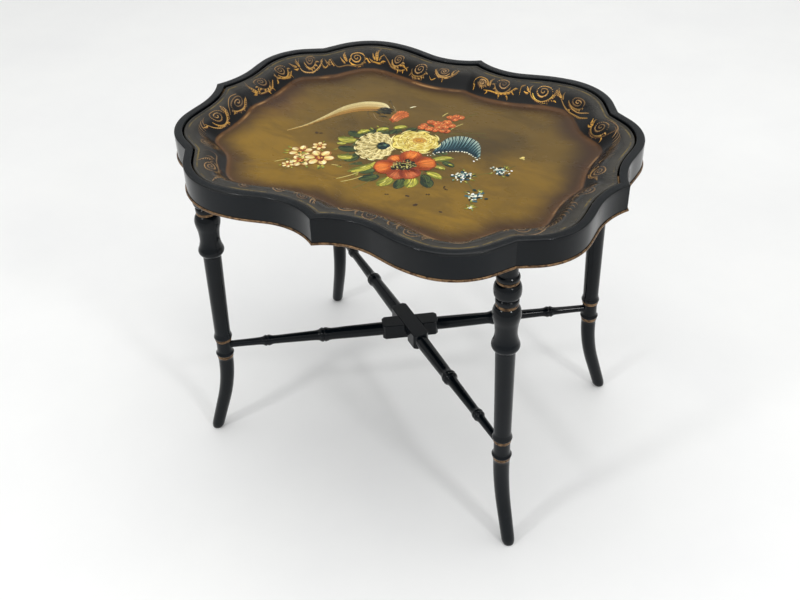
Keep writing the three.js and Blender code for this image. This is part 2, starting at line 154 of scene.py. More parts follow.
class Mixer:
    # a short way to lay out one material's nodes
    def __init__(self, name):
        # an empty material with its shader, and the place on the object in metres
        self.material = bpy.data.materials.new(name)
        self.material.use_nodes = True
        self.tree = self.material.node_tree
        self.shader = self.tree.nodes["Principled BSDF"]
        self.place = self.node("ShaderNodeTexCoord").outputs["Object"]

    def node(self, kind, **settings):
        # a new node with its settings
        made = self.tree.nodes.new(kind)
        for key, value in settings.items():
            setattr(made, key, value)
        return made

    def feed(self, socket, value):
        # links a socket, or sets a plain value
        if isinstance(value, bpy.types.NodeSocket):
            self.tree.links.new(value, socket)
        else:
            socket.default_value = value

    def noise(self, scale, detail=4, rough=0.6, stretch=(1, 1, 1), warp=0.0):
        # clouds from 0 to 1 at scale times the stretched place
        mapping = self.node("ShaderNodeMapping")
        self.feed(mapping.inputs["Vector"], self.place)
        mapping.inputs["Scale"].default_value = stretch
        made = self.node("ShaderNodeTexNoise")
        self.feed(made.inputs["Vector"], mapping.outputs[0])
        made.inputs["Scale"].default_value = scale
        made.inputs["Detail"].default_value = detail
        made.inputs["Roughness"].default_value = rough
        made.inputs["Distortion"].default_value = warp
        return made.outputs["Fac"]

    def spots(self, scale, randomness=1.0):
        # distance to the nearest of scattered points
        made = self.node("ShaderNodeTexVoronoi")
        self.feed(made.inputs["Vector"], self.place)
        made.inputs["Scale"].default_value = scale
        made.inputs["Randomness"].default_value = randomness
        return made.outputs["Distance"]

    def value(self, name):
        # a number kept on the mesh
        return self.node("ShaderNodeAttribute", attribute_name=name).outputs["Fac"]

    def colour(self, name):
        # a colour kept on the mesh
        return self.node("ShaderNodeAttribute", attribute_name=name).outputs["Color"]

    def math(self, operation, a, b=0.0, c=0.0):
        # one sum, product or power
        made = self.node("ShaderNodeMath", operation=operation)
        for socket, value in zip(made.inputs, (a, b, c)):
            self.feed(socket, value)
        return made.outputs[0]

    def span(self, value, low, high, to=(0.0, 1.0), smooth=False):
        # value carried from low and high to the two ends of to, and held there
        made = self.node("ShaderNodeMapRange", interpolation_type="SMOOTHSTEP" if smooth else "LINEAR")
        self.feed(made.inputs["Value"], value)
        for key, number in zip(("From Min", "From Max", "To Min", "To Max"), (low, high, *to)):
            made.inputs[key].default_value = number
        return made.outputs[0]

    def mix(self, share, a, b, blend="MIX"):
        # a at share 0, b at share 1
        made = self.node("ShaderNodeMix", data_type="RGBA", blend_type=blend)
        self.feed(made.inputs[0], share)
        self.feed(made.inputs[6], a)
        self.feed(made.inputs[7], b)
        return made.outputs[2]

    def bump(self, height, distance, strength=1.0):
        # tilts the shading by the slope of height times distance
        made = self.node("ShaderNodeBump")
        self.feed(made.inputs["Height"], height)
        made.inputs["Distance"].default_value = distance
        made.inputs["Strength"].default_value = strength
        self.feed(self.shader.inputs["Normal"], made.outputs[0])

    def finish(self, colour, roughness, **even):
        # colour and roughness, and even values set on the shader's own sockets
        self.feed(self.shader.inputs["Base Color"], colour)
        self.feed(self.shader.inputs["Roughness"], roughness)
        for key, value in even.items():
            self.feed(self.shader.inputs[key.replace("_", " ")], value)
        return self.material


# finishes

lacquer = {
    "black": paint(4, 8, 12), "faded": paint(7, 14, 20), "rubbed": paint(40, 40, 38),
           "primer": paint(122, 112, 96),
    "roughness": (0.08, 0.26), "gilt": paint(134, 106, 76), "giltDark": paint(60, 44, 32), "gloss": 0.21,
}


def makeLacquer():
    # black clouded by slow noise, primer where fine noise plus wear passes a limit, gold where gilt is 1
    m = Mixer("blackLacquerWithGilt")
    cloud, fine = m.noise(9, 3), m.noise(420, 4, 0.7)
    black = m.mix(m.span(cloud, 0.35, 0.7), lacquer["black"], lacquer["faded"])
    scuffs = m.noise(110, 6, 0.7)
    worn = m.math("MULTIPLY", m.value("wear"), m.span(m.noise(7, 3, 0.6), 0.46, 0.66))
    bare = m.span(m.math("ADD", m.math("MULTIPLY", worn, 0.16), scuffs), 0.755, 0.80)
    black = m.mix(m.math("MULTIPLY", bare, 0.7), black, lacquer["primer"])
    edge = m.span(m.math("MULTIPLY", m.value("wear"), m.span(cloud, 0.3, 0.6)), 0.3, 1.0)
    black = m.mix(m.math("MULTIPLY", edge, 0.5), black, lacquer["rubbed"])
    rubbed = m.span(m.noise(190, 5, 0.7), 0.42, 0.62)
    gilt = m.mix(rubbed, lacquer["gilt"], lacquer["giltDark"])
    isGilt = m.math("MULTIPLY", m.value("gilt"), m.span(m.noise(75, 5, 0.75), 0.30, 0.38))
    m.bump(m.math("ADD", m.math("MULTIPLY", cloud, 1.2), m.math("MULTIPLY", fine, 0.10)), 0.00035, 0.35)
    dull = m.span(m.math("ADD", cloud, m.math("MULTIPLY", fine, 0.3)), 0.4, 0.95, lacquer["roughness"])
    rough = m.math("ADD", m.math("ADD", dull, m.math("MULTIPLY", isGilt, 0.16)),
                   m.math("MULTIPLY", bare, 0.3))
    return m.finish(m.mix(isGilt, black, gilt), rough, Metallic=m.math("MULTIPLY", isGilt, 0.55),
                    Specular_IOR_Level=lacquer["gloss"])


trayGlaze = {
    "gold": paint(134, 102, 26), "olive": paint(101, 78, 28), "dark": paint(58, 46, 24),
             "earth": paint(96, 60, 32),
    # on the next line, the cream tone is a painted highlight in the cove and the dark brown a painted shade
    # at the foot of the wall
    "paintedGlint": paint(196, 150, 92), "copper": paint(112, 72, 30), "paintedWallFootShade": paint(52, 32, 20),
             "black": paint(5, 5, 6),
    # the grey tone that opens the next line is partly wear and partly painted reflection on the flange
    "flangeWearAndSheen": paint(58, 55, 49), "line": paint(128, 108, 52), "speck": paint(44, 32, 18), "gloss": 0.2,
    "roughness": (0.2, 0.4), "lean": (-0.2, -2.8),
    # middle x and y and half sizes in metres, where the cloud starts and ends to fade, its strength and
    # colour
    "clouds": ((0.11, 0.045, 0.085, 0.075, 0.1, 1.1, 0.75, "dark"),
               (0.0, -0.02, 0.12, 0.10, 0.4, 1.15, 0.5, "dark"),
               (0.28, 0.06, 0.07, 0.13, 0.2, 1.1, 0.6, "dark"),
               (-0.27, 0.03, 0.08, 0.10, 0.2, 1.0, 0.5, "earth")),
    # insets from the rim in metres: where each shade fades, or where a band rises, is full, and fades out
    "paintedWallFootShadeFade": (0.062, 0.098), "copperFade": (0.057, 0.070), "flangeWearAndSheenFade": (0.024, 0.040),
    "borderFade": (0.0560, 0.0590), "paintedGlintBand": (0.0585, 0.0600, 0.0605, 0.0630),
    "lineBand": (0.0184, 0.0190, 0.0206, 0.0212),
}


def makeTrayGlaze():
    # gold over olive by a slope in x and y plus noise, dark clouds, then bands by the inset from the rim,
    # with painted shade at the foot of the wall, painted highlights in the cove and a flange grey from wear
    # and painted reflection
    m = Mixer("trayGlaze")
    inset = m.value("inset")
    axes = m.node("ShaderNodeSeparateXYZ")
    m.feed(axes.inputs[0], m.place)
    x, y = axes.outputs[0], axes.outputs[1]
    wide = m.noise(5.5, 4, 0.62, (1, 1.6, 1), 0.6)
    brushed = m.noise(22, 6, 0.68, (0.5, 1.0, 1), 0.5)

    def oval(middleX, middleY, halfX, halfY):
        # distance from a spot, 1 on an oval of these half sizes
        u = m.math("POWER", m.math("DIVIDE", m.math("SUBTRACT", x, middleX), halfX), 2.0)
        v = m.math("POWER", m.math("DIVIDE", m.math("SUBTRACT", y, middleY), halfY), 2.0)
        return m.math("ADD", m.math("POWER", m.math("ADD", u, v), 0.5),
                      m.math("MULTIPLY", m.math("SUBTRACT", wide, 0.5), 1.1))

    def band(rise, full, fade, gone):
        # 1 between two insets, with a ramp at each side
        return m.math("MULTIPLY", m.span(inset, rise, full), m.span(inset, fade, gone, (1.0, 0.0)))

    # gold rises towards the front, brushed over olive
    leanX, leanY = trayGlaze["lean"]
    lean = m.math("ADD", m.math("MULTIPLY", x, leanX), m.math("MULTIPLY", y, leanY))
    warmth = m.math("ADD", m.math("ADD", lean, m.math("MULTIPLY", wide, 1.6)),
                    m.math("MULTIPLY", brushed, 0.9))
    glaze = m.mix(m.span(warmth, 0.85, 1.75, smooth=True), trayGlaze["olive"], trayGlaze["gold"])
    glaze = m.mix(m.span(brushed, 0.42, 0.66, (0.0, 0.42), True), glaze, trayGlaze["dark"])
    for *spot, start, end, strength, tone in trayGlaze["clouds"]:
        glaze = m.mix(m.span(oval(*spot), start, end, (strength, 0.0), True), glaze, trayGlaze[tone])
    edge = m.math("ADD", inset, m.math("MULTIPLY", m.math("SUBTRACT", wide, 0.5), 0.034))
    # painted shade: the floor darkens to a dark brown towards the foot of the wall, fading inwards
    glaze = m.mix(m.span(edge, *trayGlaze["paintedWallFootShadeFade"], (0.9, 0.0), True), glaze, trayGlaze["paintedWallFootShade"])
    warm = m.math("MULTIPLY", m.span(edge, *trayGlaze["copperFade"], (0.85, 0.0), True),
                  m.span(wide, 0.38, 0.62, (0.15, 1.0)))
    glaze = m.mix(warm, glaze, trayGlaze["copper"])
    # painted highlight: cream glints in a narrow band of the cove, where it catches the lamps
    paintedGlint = m.math("MULTIPLY", band(*trayGlaze["paintedGlintBand"]), m.span(m.noise(13, 3, 0.6), 0.52, 0.66))
    glaze = m.mix(m.math("MULTIPLY", paintedGlint, 0.55), glaze, trayGlaze["paintedGlint"])
    rim = m.math("ADD", inset, m.math("MULTIPLY", m.math("SUBTRACT", brushed, 0.5), 0.004))
    # partly worn paint and partly painted reflection: the flange is greyer, fading to black down the wall
    border = m.mix(m.span(rim, *trayGlaze["flangeWearAndSheenFade"]), trayGlaze["flangeWearAndSheen"], trayGlaze["black"])
    border = m.mix(m.span(brushed, 0.4, 0.7, (0.0, 0.5)), border, trayGlaze["black"])
    glaze = m.mix(m.span(rim, *trayGlaze["borderFade"], (1.0, 0.0), True), glaze, border)
    worn = m.math("MULTIPLY", band(*trayGlaze["lineBand"]), m.span(m.noise(34, 4, 0.7), 0.44, 0.58))
    glaze = m.mix(m.math("MULTIPLY", worn, 0.6), glaze, trayGlaze["line"])
    specks = m.math("LESS_THAN", m.spots(60), m.span(m.noise(9, 2), 0.45, 0.75, (0.0, 0.085)))
    glaze = m.mix(m.math("MULTIPLY", specks, 0.6), glaze, trayGlaze["speck"])
    m.bump(m.math("ADD", brushed, m.math("MULTIPLY", m.noise(160, 4), 0.25)), 0.0006, 0.16)
    rough = m.span(m.math("ADD", wide, m.math("MULTIPLY", brushed, 0.6)), 0.55, 1.1, trayGlaze["roughness"])
    return m.finish(glaze, rough, Specular_IOR_Level=trayGlaze["gloss"])


strokePaint = {"streak": paint(196, 176, 140), "roughness": (0.28, 0.5), "gloss": 0.2}


def makePaint():
    # each stroke's own colour, times a streak of fine noise
    m = Mixer("brushedPaint")
    streak = m.noise(330, 4, 0.7)
    colour = m.mix(m.span(streak, 0.3, 0.75, (0.0, 0.3)), m.colour("paint"), strokePaint["streak"],
                   "MULTIPLY")
    m.bump(m.noise(700, 3), 0.0002, 0.35)
    return m.finish(colour, m.span(streak, 0.3, 0.7, strokePaint["roughness"]),
                    Specular_IOR_Level=strokePaint["gloss"])


wood = {"pale": paint(176, 142, 98), "band": paint(134, 98, 60), "pore": paint(92, 62, 38),
        "roughness": (0.55, 0.8)}


def makeWood():
    # bands of noise drawn out along the grain, with fine dark pores
    m = Mixer("bareSoftwood")
    grain = m.noise(40, 6, 0.6, (1, 1, 9), 1.2)
    pores = m.noise(260, 3, 0.6, (1, 1, 0.12))
    colour = m.mix(m.span(grain, 0.35, 0.65), wood["pale"], wood["band"])
    colour = m.mix(m.span(pores, 0.55, 0.7, (0.0, 0.5)), colour, wood["pore"])
    m.bump(m.math("ADD", grain, pores), 0.0004, 0.4)
    return m.finish(colour, m.span(grain, 0.3, 0.7, wood["roughness"]))


zinc = {"bright": paint(186, 184, 176), "dull": paint(120, 112, 98), "roughness": (0.28, 0.5)}


def makeSteel():
    # clouded zinc with fine scratches along one axis
    m = Mixer("zincedSteel")
    scratch = m.noise(500, 5, 0.7, (1, 5, 1))
    colour = m.mix(m.span(m.noise(120, 3), 0.35, 0.7), zinc["bright"], zinc["dull"])
    m.bump(scratch, 0.0001, 0.3)
    return m.finish(colour, m.span(scratch, 0.3, 0.7, zinc["roughness"]), Metallic=1.0)


blackLacquer, trayPaint = makeLacquer(), makeTrayGlaze()
brushPaint, softwood, steel = makePaint(), makeWood(), makeSteel()
print("finishes made")


# the scalloped outline: each half side runs from a pointed tip through a hollow, over a crown and
# round a shoulder to the notch at the corner

scallop = {
    "notchFromEnd": 82 * mm, "notchFromSide": 73 * mm, "waveFill": 0.955, "hollowPart": 0.34,
    "long": {"hollowShare": 0.225, "hollowDepth": 18.5 * mm, "crownShare": 0.612, "crownDepth": 2 * mm,
             "shoulderRadius": 100 * mm},
    "short": {"hollowShare": 0.33, "hollowDepth": 17.6 * mm, "crownShare": 0.527, "crownDepth": 16.4 * mm,
              "shoulderRadius": 88 * mm},
    "steps": {"tip": 22, "hollow": 8, "crown": 14, "shoulder": 30, "straight": 8},
}
notch = np.array([halfLength - scallop["notchFromEnd"], halfWidth - scallop["notchFromSide"]])
diagonal = math.atan2(notch[1], notch[0])


def solveSide(side, run, notchDepth):
    # radii and turns that make the arcs meet smoothly
    hollow, crown = run * side["hollowShare"], run * side["crownShare"]
    rise, gap = side["hollowDepth"] - side["crownDepth"], run * (side["crownShare"] - side["hollowShare"])
    radii = scallop["waveFill"] * (gap ** 2 + rise ** 2) / (2 * rise)
    toNotch, drop = run - crown, notchDepth - side["crownDepth"]
    shoulder = side["shoulderRadius"]
    return {
        **side, "hollow": hollow, "crown": crown,
        "tipRadius": (hollow ** 2 + side["hollowDepth"] ** 2) / (2 * side["hollowDepth"]),
        "hollowRadius": radii * scallop["hollowPart"], "crownRadius": radii * (1 - scallop["hollowPart"]),
        "slope": math.atan2(gap, radii - rise) - math.acos(radii / math.hypot(gap, radii - rise)),
        "turn": math.asin(shoulder / math.hypot(toNotch, drop - shoulder)) - math.atan2(shoulder - drop,
                                                                                        toNotch),
    }


longSide = solveSide(scallop["long"], notch[0], scallop["notchFromSide"])
shortSide = solveSide(scallop["short"], notch[1], scallop["notchFromEnd"])


def arc(along, depth, radius, start, end, steps):
    # a circle's points: the middle plus radius times the sine and cosine of the angle
    angle = np.linspace(start, end, steps + 1)
    return np.stack([along + radius * np.sin(angle), depth + radius * np.cos(angle)], -1)


def notchAt(inset):
    # where the two straights that meet in the notch cross, once moved inwards
    outLong = np.array([math.sin(longSide["turn"]), math.cos(longSide["turn"])])
    outShort = np.array([math.cos(shortSide["turn"]), math.sin(shortSide["turn"])])
    return notch - (outLong + outShort) * inset / (1 + outLong @ outShort)


def halfSide(isLong, inset):
    # plan points of the half side in the +X +Y quarter, tip to notch, moved inwards by inset
    side, steps = (longSide if isLong else shortSide), scallop["steps"]
    tip, hollow = side["tipRadius"] + inset, side["hollowRadius"] + inset
    crown, shoulder = side["crownRadius"] - inset, side["shoulderRadius"] - inset
    crownTop = side["crownDepth"] + side["crownRadius"]
    shoulderMiddle = side["crownDepth"] + side["shoulderRadius"]
    parts = [
        arc(side["hollow"], side["hollowDepth"] - side["tipRadius"], tip, -math.asin(side["hollow"] / tip), 0,
            steps["tip"])[:-1],
        arc(side["hollow"], side["hollowDepth"] - side["hollowRadius"], hollow, 0, side["slope"],
            steps["hollow"])[:-1],
        arc(side["crown"], crownTop, crown, math.pi + side["slope"], math.pi, steps["crown"])[:-1],
        arc(side["crown"], shoulderMiddle, shoulder, math.pi, math.pi - side["turn"], steps["shoulder"]),
    ]
    local = np.concatenate(parts)
    plan = np.stack([local[:, 0], halfWidth - local[:, 1]] if isLong else [halfLength - local[:, 1],
                                                                           local[:, 0]], -1)
    share = np.linspace(0, 1, steps["straight"] + 1)[1:, None]
    return np.concatenate([plan, plan[-1] * (1 - share) + notchAt(inset) * share])


def ringAt(inset, soft=0):
    # the whole outline, anticlockwise from the +X tip; soft passes round its creases off
    quarter = np.concatenate([halfSide(False, inset), halfSide(True, inset)[::-1][1:]])
    ring = np.concatenate([(quarter * sign if sign[0] * sign[1] > 0 else (quarter * sign)[::-1])[:-1]
                           for sign in np.array([[1, 1], [-1, 1], [-1, -1], [1, -1]])])
    for _ in range(soft):
        ring = 0.25 * np.roll(ring, 1, 0) + 0.5 * ring + 0.25 * np.roll(ring, -1, 0)
    return ring


# apron: eight sawn pieces, mitred at the tips and the notches

apron = {"thickness": 12 * mm, "outerEase": 1.6 * mm, "innerEase": 1.2 * mm, "jointGap": 0.06 * mm,
         "easeSteps": 5,
         "faceSteps": 7, "endWear": 1.6 * mm}


def apronSection():
    # inset and height round the section, and how worn each point is
    low, high, wide = boardHigh, tableTop, apron["thickness"]
    turn = np.linspace(0, math.pi / 2, apron["easeSteps"])
    outer, inner = apron["outerEase"], apron["innerEase"]
    face = np.linspace(low, high - outer, apron["faceSteps"] + 1)[:-1]
    rows = [np.stack([np.zeros(len(face)), face], -1),
            np.stack([outer * (1 - np.cos(turn)), high - outer * (1 - np.sin(turn))], -1),
            np.stack([np.linspace(outer, wide - inner, 4)[1:-1], [high, high]], -1),
            np.stack([wide - inner * (1 - np.sin(turn)), high - inner * (1 - np.cos(turn))], -1),
            np.array([[wide, (low + high) / 2], [wide, low]])]
    wear = np.concatenate([np.zeros(len(face)), np.ones(len(turn)), [0.25, 0.25], np.full(len(turn), 0.8),
                           [0, 0]])
    return np.concatenate(rows), wear


def makeApron():
    # the section carried along each half side by the inset of its points, with a hair of gap at both ends
    section, wear = apronSection()
    for sideName, signX in (("left", -1), ("right", 1)):
        for depthName, signY in (("front", -1), ("back", 1)):
            for isLong in (True, False):
                lines = np.stack([halfSide(isLong, inset) for inset in section[:, 0]], 1)
                run = np.linalg.norm(np.diff(lines[:, 0], axis=0), axis=1)
                fromTip = np.concatenate([[0], np.cumsum(run)])
                lines[0] += (lines[1] - lines[0]) * apron["jointGap"] / run[0]
                lines[-1] += (lines[-2] - lines[-1]) * apron["jointGap"] / run[-1]
                grid = np.concatenate([lines * [signX, signY],
                                       np.broadcast_to(section[:, 1], lines.shape[:2])[..., None]], -1)
                nearEnd = np.exp(-np.minimum(fromTip, fromTip[-1] - fromTip) / apron["endWear"])[:, None]
                worn = np.clip(wear[None, :] + 0.8 * nearEnd, 0, 1.3)
                node = f"apron_{depthName}_{sideName}" if isLong else f"apron_{sideName}_end_{depthName}"
                skin = closedGrid(grid, {"wear": worn, "gilt": worn * 0})
                addPiece("lacquered_" + node, skin, blackLacquer, "stand", [node])


makeApron()
print("apron made")


# base board with its rounded, gilded edge

board = {"nosing": 2 * mm, "edgeSteps": 9, "fill": (0.25, 0.5, 0.75, 0.95)}


def makeBoard():
    # the outline moved out by a half circle round the edge, and scaled inwards to close both faces
    middle, half = (boardLow + boardHigh) / 2, (boardHigh - boardLow) / 2
    angle = np.linspace(-math.pi / 2, math.pi / 2, board["edgeSteps"])
    rings = [np.concatenate([ringAt(-board["nosing"] * math.cos(a)),
                             np.full((len(ringAt(0)), 1), middle + half * math.sin(a))], -1)
             for a in angle]
    under = [rings[0] * [share, share, 1] for share in board["fill"]]
    over = [rings[-1] * [share, share, 1] for share in reversed(board["fill"])]
    grid = np.stack(under + rings + over)
    gilt = np.zeros(grid.shape[:2])
    gilt[len(under) + 1:len(under) + len(rings) - 1] = 1
    skin = closedGrid(grid, {"gilt": gilt, "wear": gilt * 0.3})
    addPiece("gilt_edged_base_board", skin, blackLacquer, "stand", ["base_board"], 50)


makeBoard()
print("base board made")


# turned work

def smoothRun(keys, steps):
    # a cubic through the keys, with each key's slope taken from its two neighbours
    keys = np.array(keys, float)
    place = np.linspace(0, len(keys) - 1, steps * (len(keys) - 1) + 1)
    i = np.minimum(place.astype(int), len(keys) - 2)
    u = (place - i)[:, None]
    slope = np.gradient(keys, axis=0)
    return ((2 * u ** 3 - 3 * u ** 2 + 1) * keys[i] + (u ** 3 - 2 * u ** 2 + u) * slope[i]
            + (3 * u ** 2 - 2 * u ** 3) * keys[i + 1] + (u ** 3 - u ** 2) * slope[i + 1])


def spun(along, across, high, turn):
    # plan turned by an angle: x is along cos less across sin, y is along sin plus across cos
    return np.stack([along * math.cos(turn) - across * math.sin(turn),
                     along * math.sin(turn) + across * math.cos(turn), high], -1)


def crests(radii):
    # where a turned profile bulges most, from the second difference of its radii
    return np.clip(np.gradient(np.gradient(radii)) * -6000, 0, 1)


# distance down from the leg's top and radius in mm; a run marked 1 is a gilded band
leg = {
    "runs": [
        (0, [(0, 13.6), (8, 13.2), (15.5, 13.3), (18.4, 13.9)]),
        (0, [(18.6, 14.2), (20.4, 15.6), (23, 16.1), (25.4, 15.6), (26.8, 14.6)]),
        (1, [(26.9, 15.2), (28.7, 15.7), (30.5, 15.2)]),
        (0, [(30.8, 14.2), (33, 16.5), (37, 18.4), (43.4, 19), (49.8, 18.4), (53.8, 16.5), (56, 14.4)]),
        (0, [(56.4, 14.7), (57.6, 15.9), (60.5, 16.2), (63.4, 15.9), (64.3, 15.1)]),
        (1, [(64.5, 15.4), (66.7, 15.8), (68.8, 15.3)]),
        (0, [(69, 15), (71, 16.7), (75, 18.7), (81.5, 19.8), (88.5, 19), (98, 16.9), (109, 15.7), (118, 15.8),
             (126, 17.3), (132, 19.4), (135.8, 20), (139, 19.2), (142.5, 17), (145.5, 14.4)]),
        (0, [(145.8, 14.1), (190, 13.7), (245, 13.2), (295, 12.8), (302, 13.2), (306, 14.3), (308.6, 14.9),
             (310.4, 14.3), (310.9, 13.5)]),
        (1, [(311, 13.3), (313.7, 13.6), (316.4, 13.2)]),
        (0,
         [(316.6, 12.4), (326, 12.2), (336, 12.3), (339.5, 13.1), (342, 14.6), (343.3, 14.9), (344.9, 14.3),
             (345.4, 13.5)]),
        (1, [(345.5, 13.3), (348, 13.6), (350.6, 13.2)]),
    ],
    "inset": 17.5 * mm, "splay": 8.6 * mm, "kneeBelow": 23 * mm, "footReach": 33 * mm, "bendShare": 0.6,
    "kneeRadius": 12.5 * mm, "toeRadius": 10 * mm, "tenon": 8 * mm, "sides": 48, "runSteps": 5,
       "footSteps": 46,
    "footEase": 1.35,
}
legRadius = math.hypot(*notch) - leg["inset"]
kneeHeight = stretcherHeight - leg["kneeBelow"]


def legLine(height):
    # reach of the leg's axis from the table's middle and its outward tilt: straight, then an arc, then
    # straight
    straightReach = legRadius + leg["splay"] * (boardLow - np.maximum(height,
                                                                      kneeHeight)) / (boardLow - kneeHeight)
    bend = kneeHeight * leg["bendShare"]
    straight = kneeHeight - bend
    tilt = 2 * math.atan2(leg["footReach"], kneeHeight + straight)
    radius = bend / math.sin(tilt)
    inArc = np.clip(kneeHeight - height, 0, bend)
    angle = np.arcsin(inArc / radius)
    outward = radius * (1 - np.cos(angle)) + np.clip(straight - height, 0, None) * math.tan(tilt)
    return straightReach + outward, angle


def makeLeg(name, signX, signY):
    # circles along the leg's line, each square to it, from the tenon's top down to the toe
    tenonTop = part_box("leg_" + name)[1].z
    heights, radii, gilt = [tenonTop, tenonTop - 1 * mm,
                            boardLow], [leg["tenon"] - 1 * mm] + [leg["tenon"]] * 2, [0] * 3
    for isGilt, keys in leg["runs"]:
        run = smoothRun(keys, leg["runSteps"])
        heights.extend(boardLow - run[:, 0] * mm)
        radii.extend(run[:, 1] * mm)
        gilt.extend([isGilt] * len(run))
    down = np.linspace(0, 1, leg["footSteps"])
    foot = (kneeHeight - 1 * mm) * (1 - down) ** leg["footEase"]
    toe = leg["toeRadius"]
    rounded = np.sqrt(1 - (1 - np.clip(foot / toe, 0, 1)) ** 2)
    taper = toe + (leg["kneeRadius"] - toe) * foot / kneeHeight
    heights.extend(foot)
    radii.extend(taper * (0.72 + 0.28 * rounded))  # the toe shrinks to 0.72 of the taper
    gilt.extend([0] * len(foot))
    heights, radii, gilt = np.array(heights), np.array(radii), np.array(gilt, float)
    reach, tilt = legLine(heights)
    tilt = tilt * np.clip(heights / toe, 0, 1)
    angle = np.linspace(0, 2 * math.pi, leg["sides"], endpoint=False)
    outward, across = radii[:, None] * np.cos(angle), radii[:, None] * np.sin(angle)
    along = reach[:, None] + outward * np.cos(tilt)[:, None]
    high = np.maximum(heights[:, None] + outward * np.sin(tilt)[:, None], 0)
    turn = math.atan2(signY * math.sin(diagonal), signX * math.cos(diagonal))
    grid = spun(along, across, high, turn)
    bulge = crests(radii) * (gilt == 0)
    wear = np.broadcast_to(bulge[:, None], grid.shape[:2])
    giltGrid = np.broadcast_to(gilt[:, None], grid.shape[:2])
    skin = closedGrid(grid, {"gilt": giltGrid, "wear": wear * 0.8})
    addPiece("turned_leg_" + name, skin, blackLacquer, "stand", ["leg_" + name], 42)


for sideName, signX in (("left", -1), ("right", 1)):
    for depthName, signY in (("front", -1), ("back", 1)):
        makeLeg(f"{depthName}_{sideName}", signX, signY)
print("legs made")


# crossed stretchers: two turned rods each, and a squared block that is half-lapped in the middle

# distance from the middle and radius in mm
stretcher = {
    "runs": [
        [(43, 11), (60, 11), (100, 10.5), (126, 10), (134, 10.2), (139, 11.5), (141.6, 12.1), (143.4, 11.8),
         (144.4, 11)],
        [(144.6, 11), (145.6, 11.8), (147.4, 12.1), (150, 11.2), (153, 9.4), (158, 8.6), (166, 8.3),
         (200, 7.6),
         (224, 7.2), (230, 7.6), (233.6, 8.8), (235.4, 9.2), (237.4, 8.9), (238.4, 8.2)],
        [(238.6, 8.2), (239.6, 8.9), (241.6, 9.2), (243.6, 8.3), (247, 6.9), (256, 6.3), (280, 5.9),
         (304, 5.8)],
    ],
    "sides": 40, "lapLength": 93 * mm, "lapWidth": 27 * mm, "corner": 4.5 * mm, "edge": 0.9 * mm,
             "gap": 0.12 * mm,
}


def makeRods(name, node, turn):
    # one profile turned about the stretcher's axis, once each way from the middle
    profile = np.concatenate([smoothRun(keys, 5) for keys in stretcher["runs"]]) * mm
    angle = np.linspace(0, 2 * math.pi, stretcher["sides"], endpoint=False)
    skins = []
    for side in (0, math.pi):
        across, high = profile[:, 1:] * np.cos(angle), profile[:, 1:] * np.sin(angle)
        way = turn + side
        along = np.broadcast_to(profile[:, :1], across.shape)
        grid = spun(along, across, high + stretcherHeight, way)
        bulge = crests(profile[:, 1])[:, None]
        skins.append(closedGrid(grid,
                                {"gilt": across * 0, "wear": np.broadcast_to(bulge * 0.8, across.shape)}))
    addPiece(name + "_rods", joined(skins), blackLacquer, "stand", [node])


def makeLapBlock(name, node, turn, otherTurn, notchOnTop):
    # the block's plan is an octagon; the strip of the other block is cut out of one half of its height
    end, side, cut = stretcher["lapLength"] / 2, stretcher["lapWidth"] / 2, stretcher["corner"]
    across = otherTurn - turn
    slope, reach = math.cos(across) / math.sin(across), (side + stretcher["gap"]) / abs(math.sin(across))
    left = [(-end, side - cut), (-end, cut - side), (cut - end, -side), (-reach - side * slope, -side),
            (side * slope - reach, side),
            (cut - end, side)]
    middle = [(-reach - side * slope, -side), (reach - side * slope, -side), (reach + side * slope, side),
              (side * slope - reach, side)]
    plan = np.array(left + [(-x, -y) for x, y in left])
    levels = [-side, -stretcher["gap"] / 2, side]
    points = np.concatenate([np.column_stack([plan, np.full(12, level)]) for level in levels])
    faces = []
    for base in (0, 6):
        ring = [base + i for i in range(6)]
        for low in (0, 12):
            for i in range(6):
                a, b = ring[i], ring[(i + 1) % 6]
                if (i == 3 and low == 0):
                    continue
                faces.append((a + low, b + low, b + low + 12, a + low + 12))
        faces.append(tuple(i + 24 for i in ring))
        faces.append(tuple(reversed(ring)))
    faces += [(3, 10, 22, 15), (9, 4, 16, 21), (15, 22, 21, 16), (4, 9, 10, 3)]
    if not notchOnTop:
        points = points * [1, -1, -1]
    corners = spun(points[:, 0], points[:, 1], points[:, 2] + stretcherHeight, turn)
    mesh = bpy.data.meshes.new(name + "_lap_block")
    mesh.from_pydata(corners.tolist(), [], faces)
    mesh.validate()
    mesh.materials.append(blackLacquer)
    block = bpy.data.objects.new(name + "_lap_block", mesh)
    bpy.context.scene.collection.objects.link(block)
    bevel = block.modifiers.new("edges", "BEVEL")
    bevel.width, bevel.segments, bevel.limit_method, bevel.angle_limit = stretcher["edge"], 3, "ANGLE", 0.5
    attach(block, "stand")
    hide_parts(node)


for name, node, way, notchOnTop in (("rising_stretcher", "stretcher_front_left_to_back_right", 1, True),
                                    ("falling_stretcher", "stretcher_front_right_to_back_left", -1, False)):
    makeRods(name, node, way * diagonal)
    makeLapBlock(name, node, way * diagonal, -way * diagonal, notchOnTop)
print("stretchers made")


# tray: one pressed sheet with a rolled rim, a flat flange, a sloping border and a flat floor

tray = {
    "clearance": 2 * mm, "drop": 2.6 * mm, "sheet": 1.6 * mm, "rim": 3.8 * mm, "rest": 3.7 * mm,
        "start": 1.4 * mm,
    "border": 46 * mm, "depth": 23.4 * mm, "flatShare": 0.19, "borderSteps": 40, "floorSteps": 22,
        "dent": 0.22 * mm,
}
trayEdge = apron["thickness"] + tray["clearance"]
floorInset = trayEdge + tray["rim"] + tray["border"]
trayTop = tableTop - tray["drop"]
floorHeight = trayTop - tray["depth"]


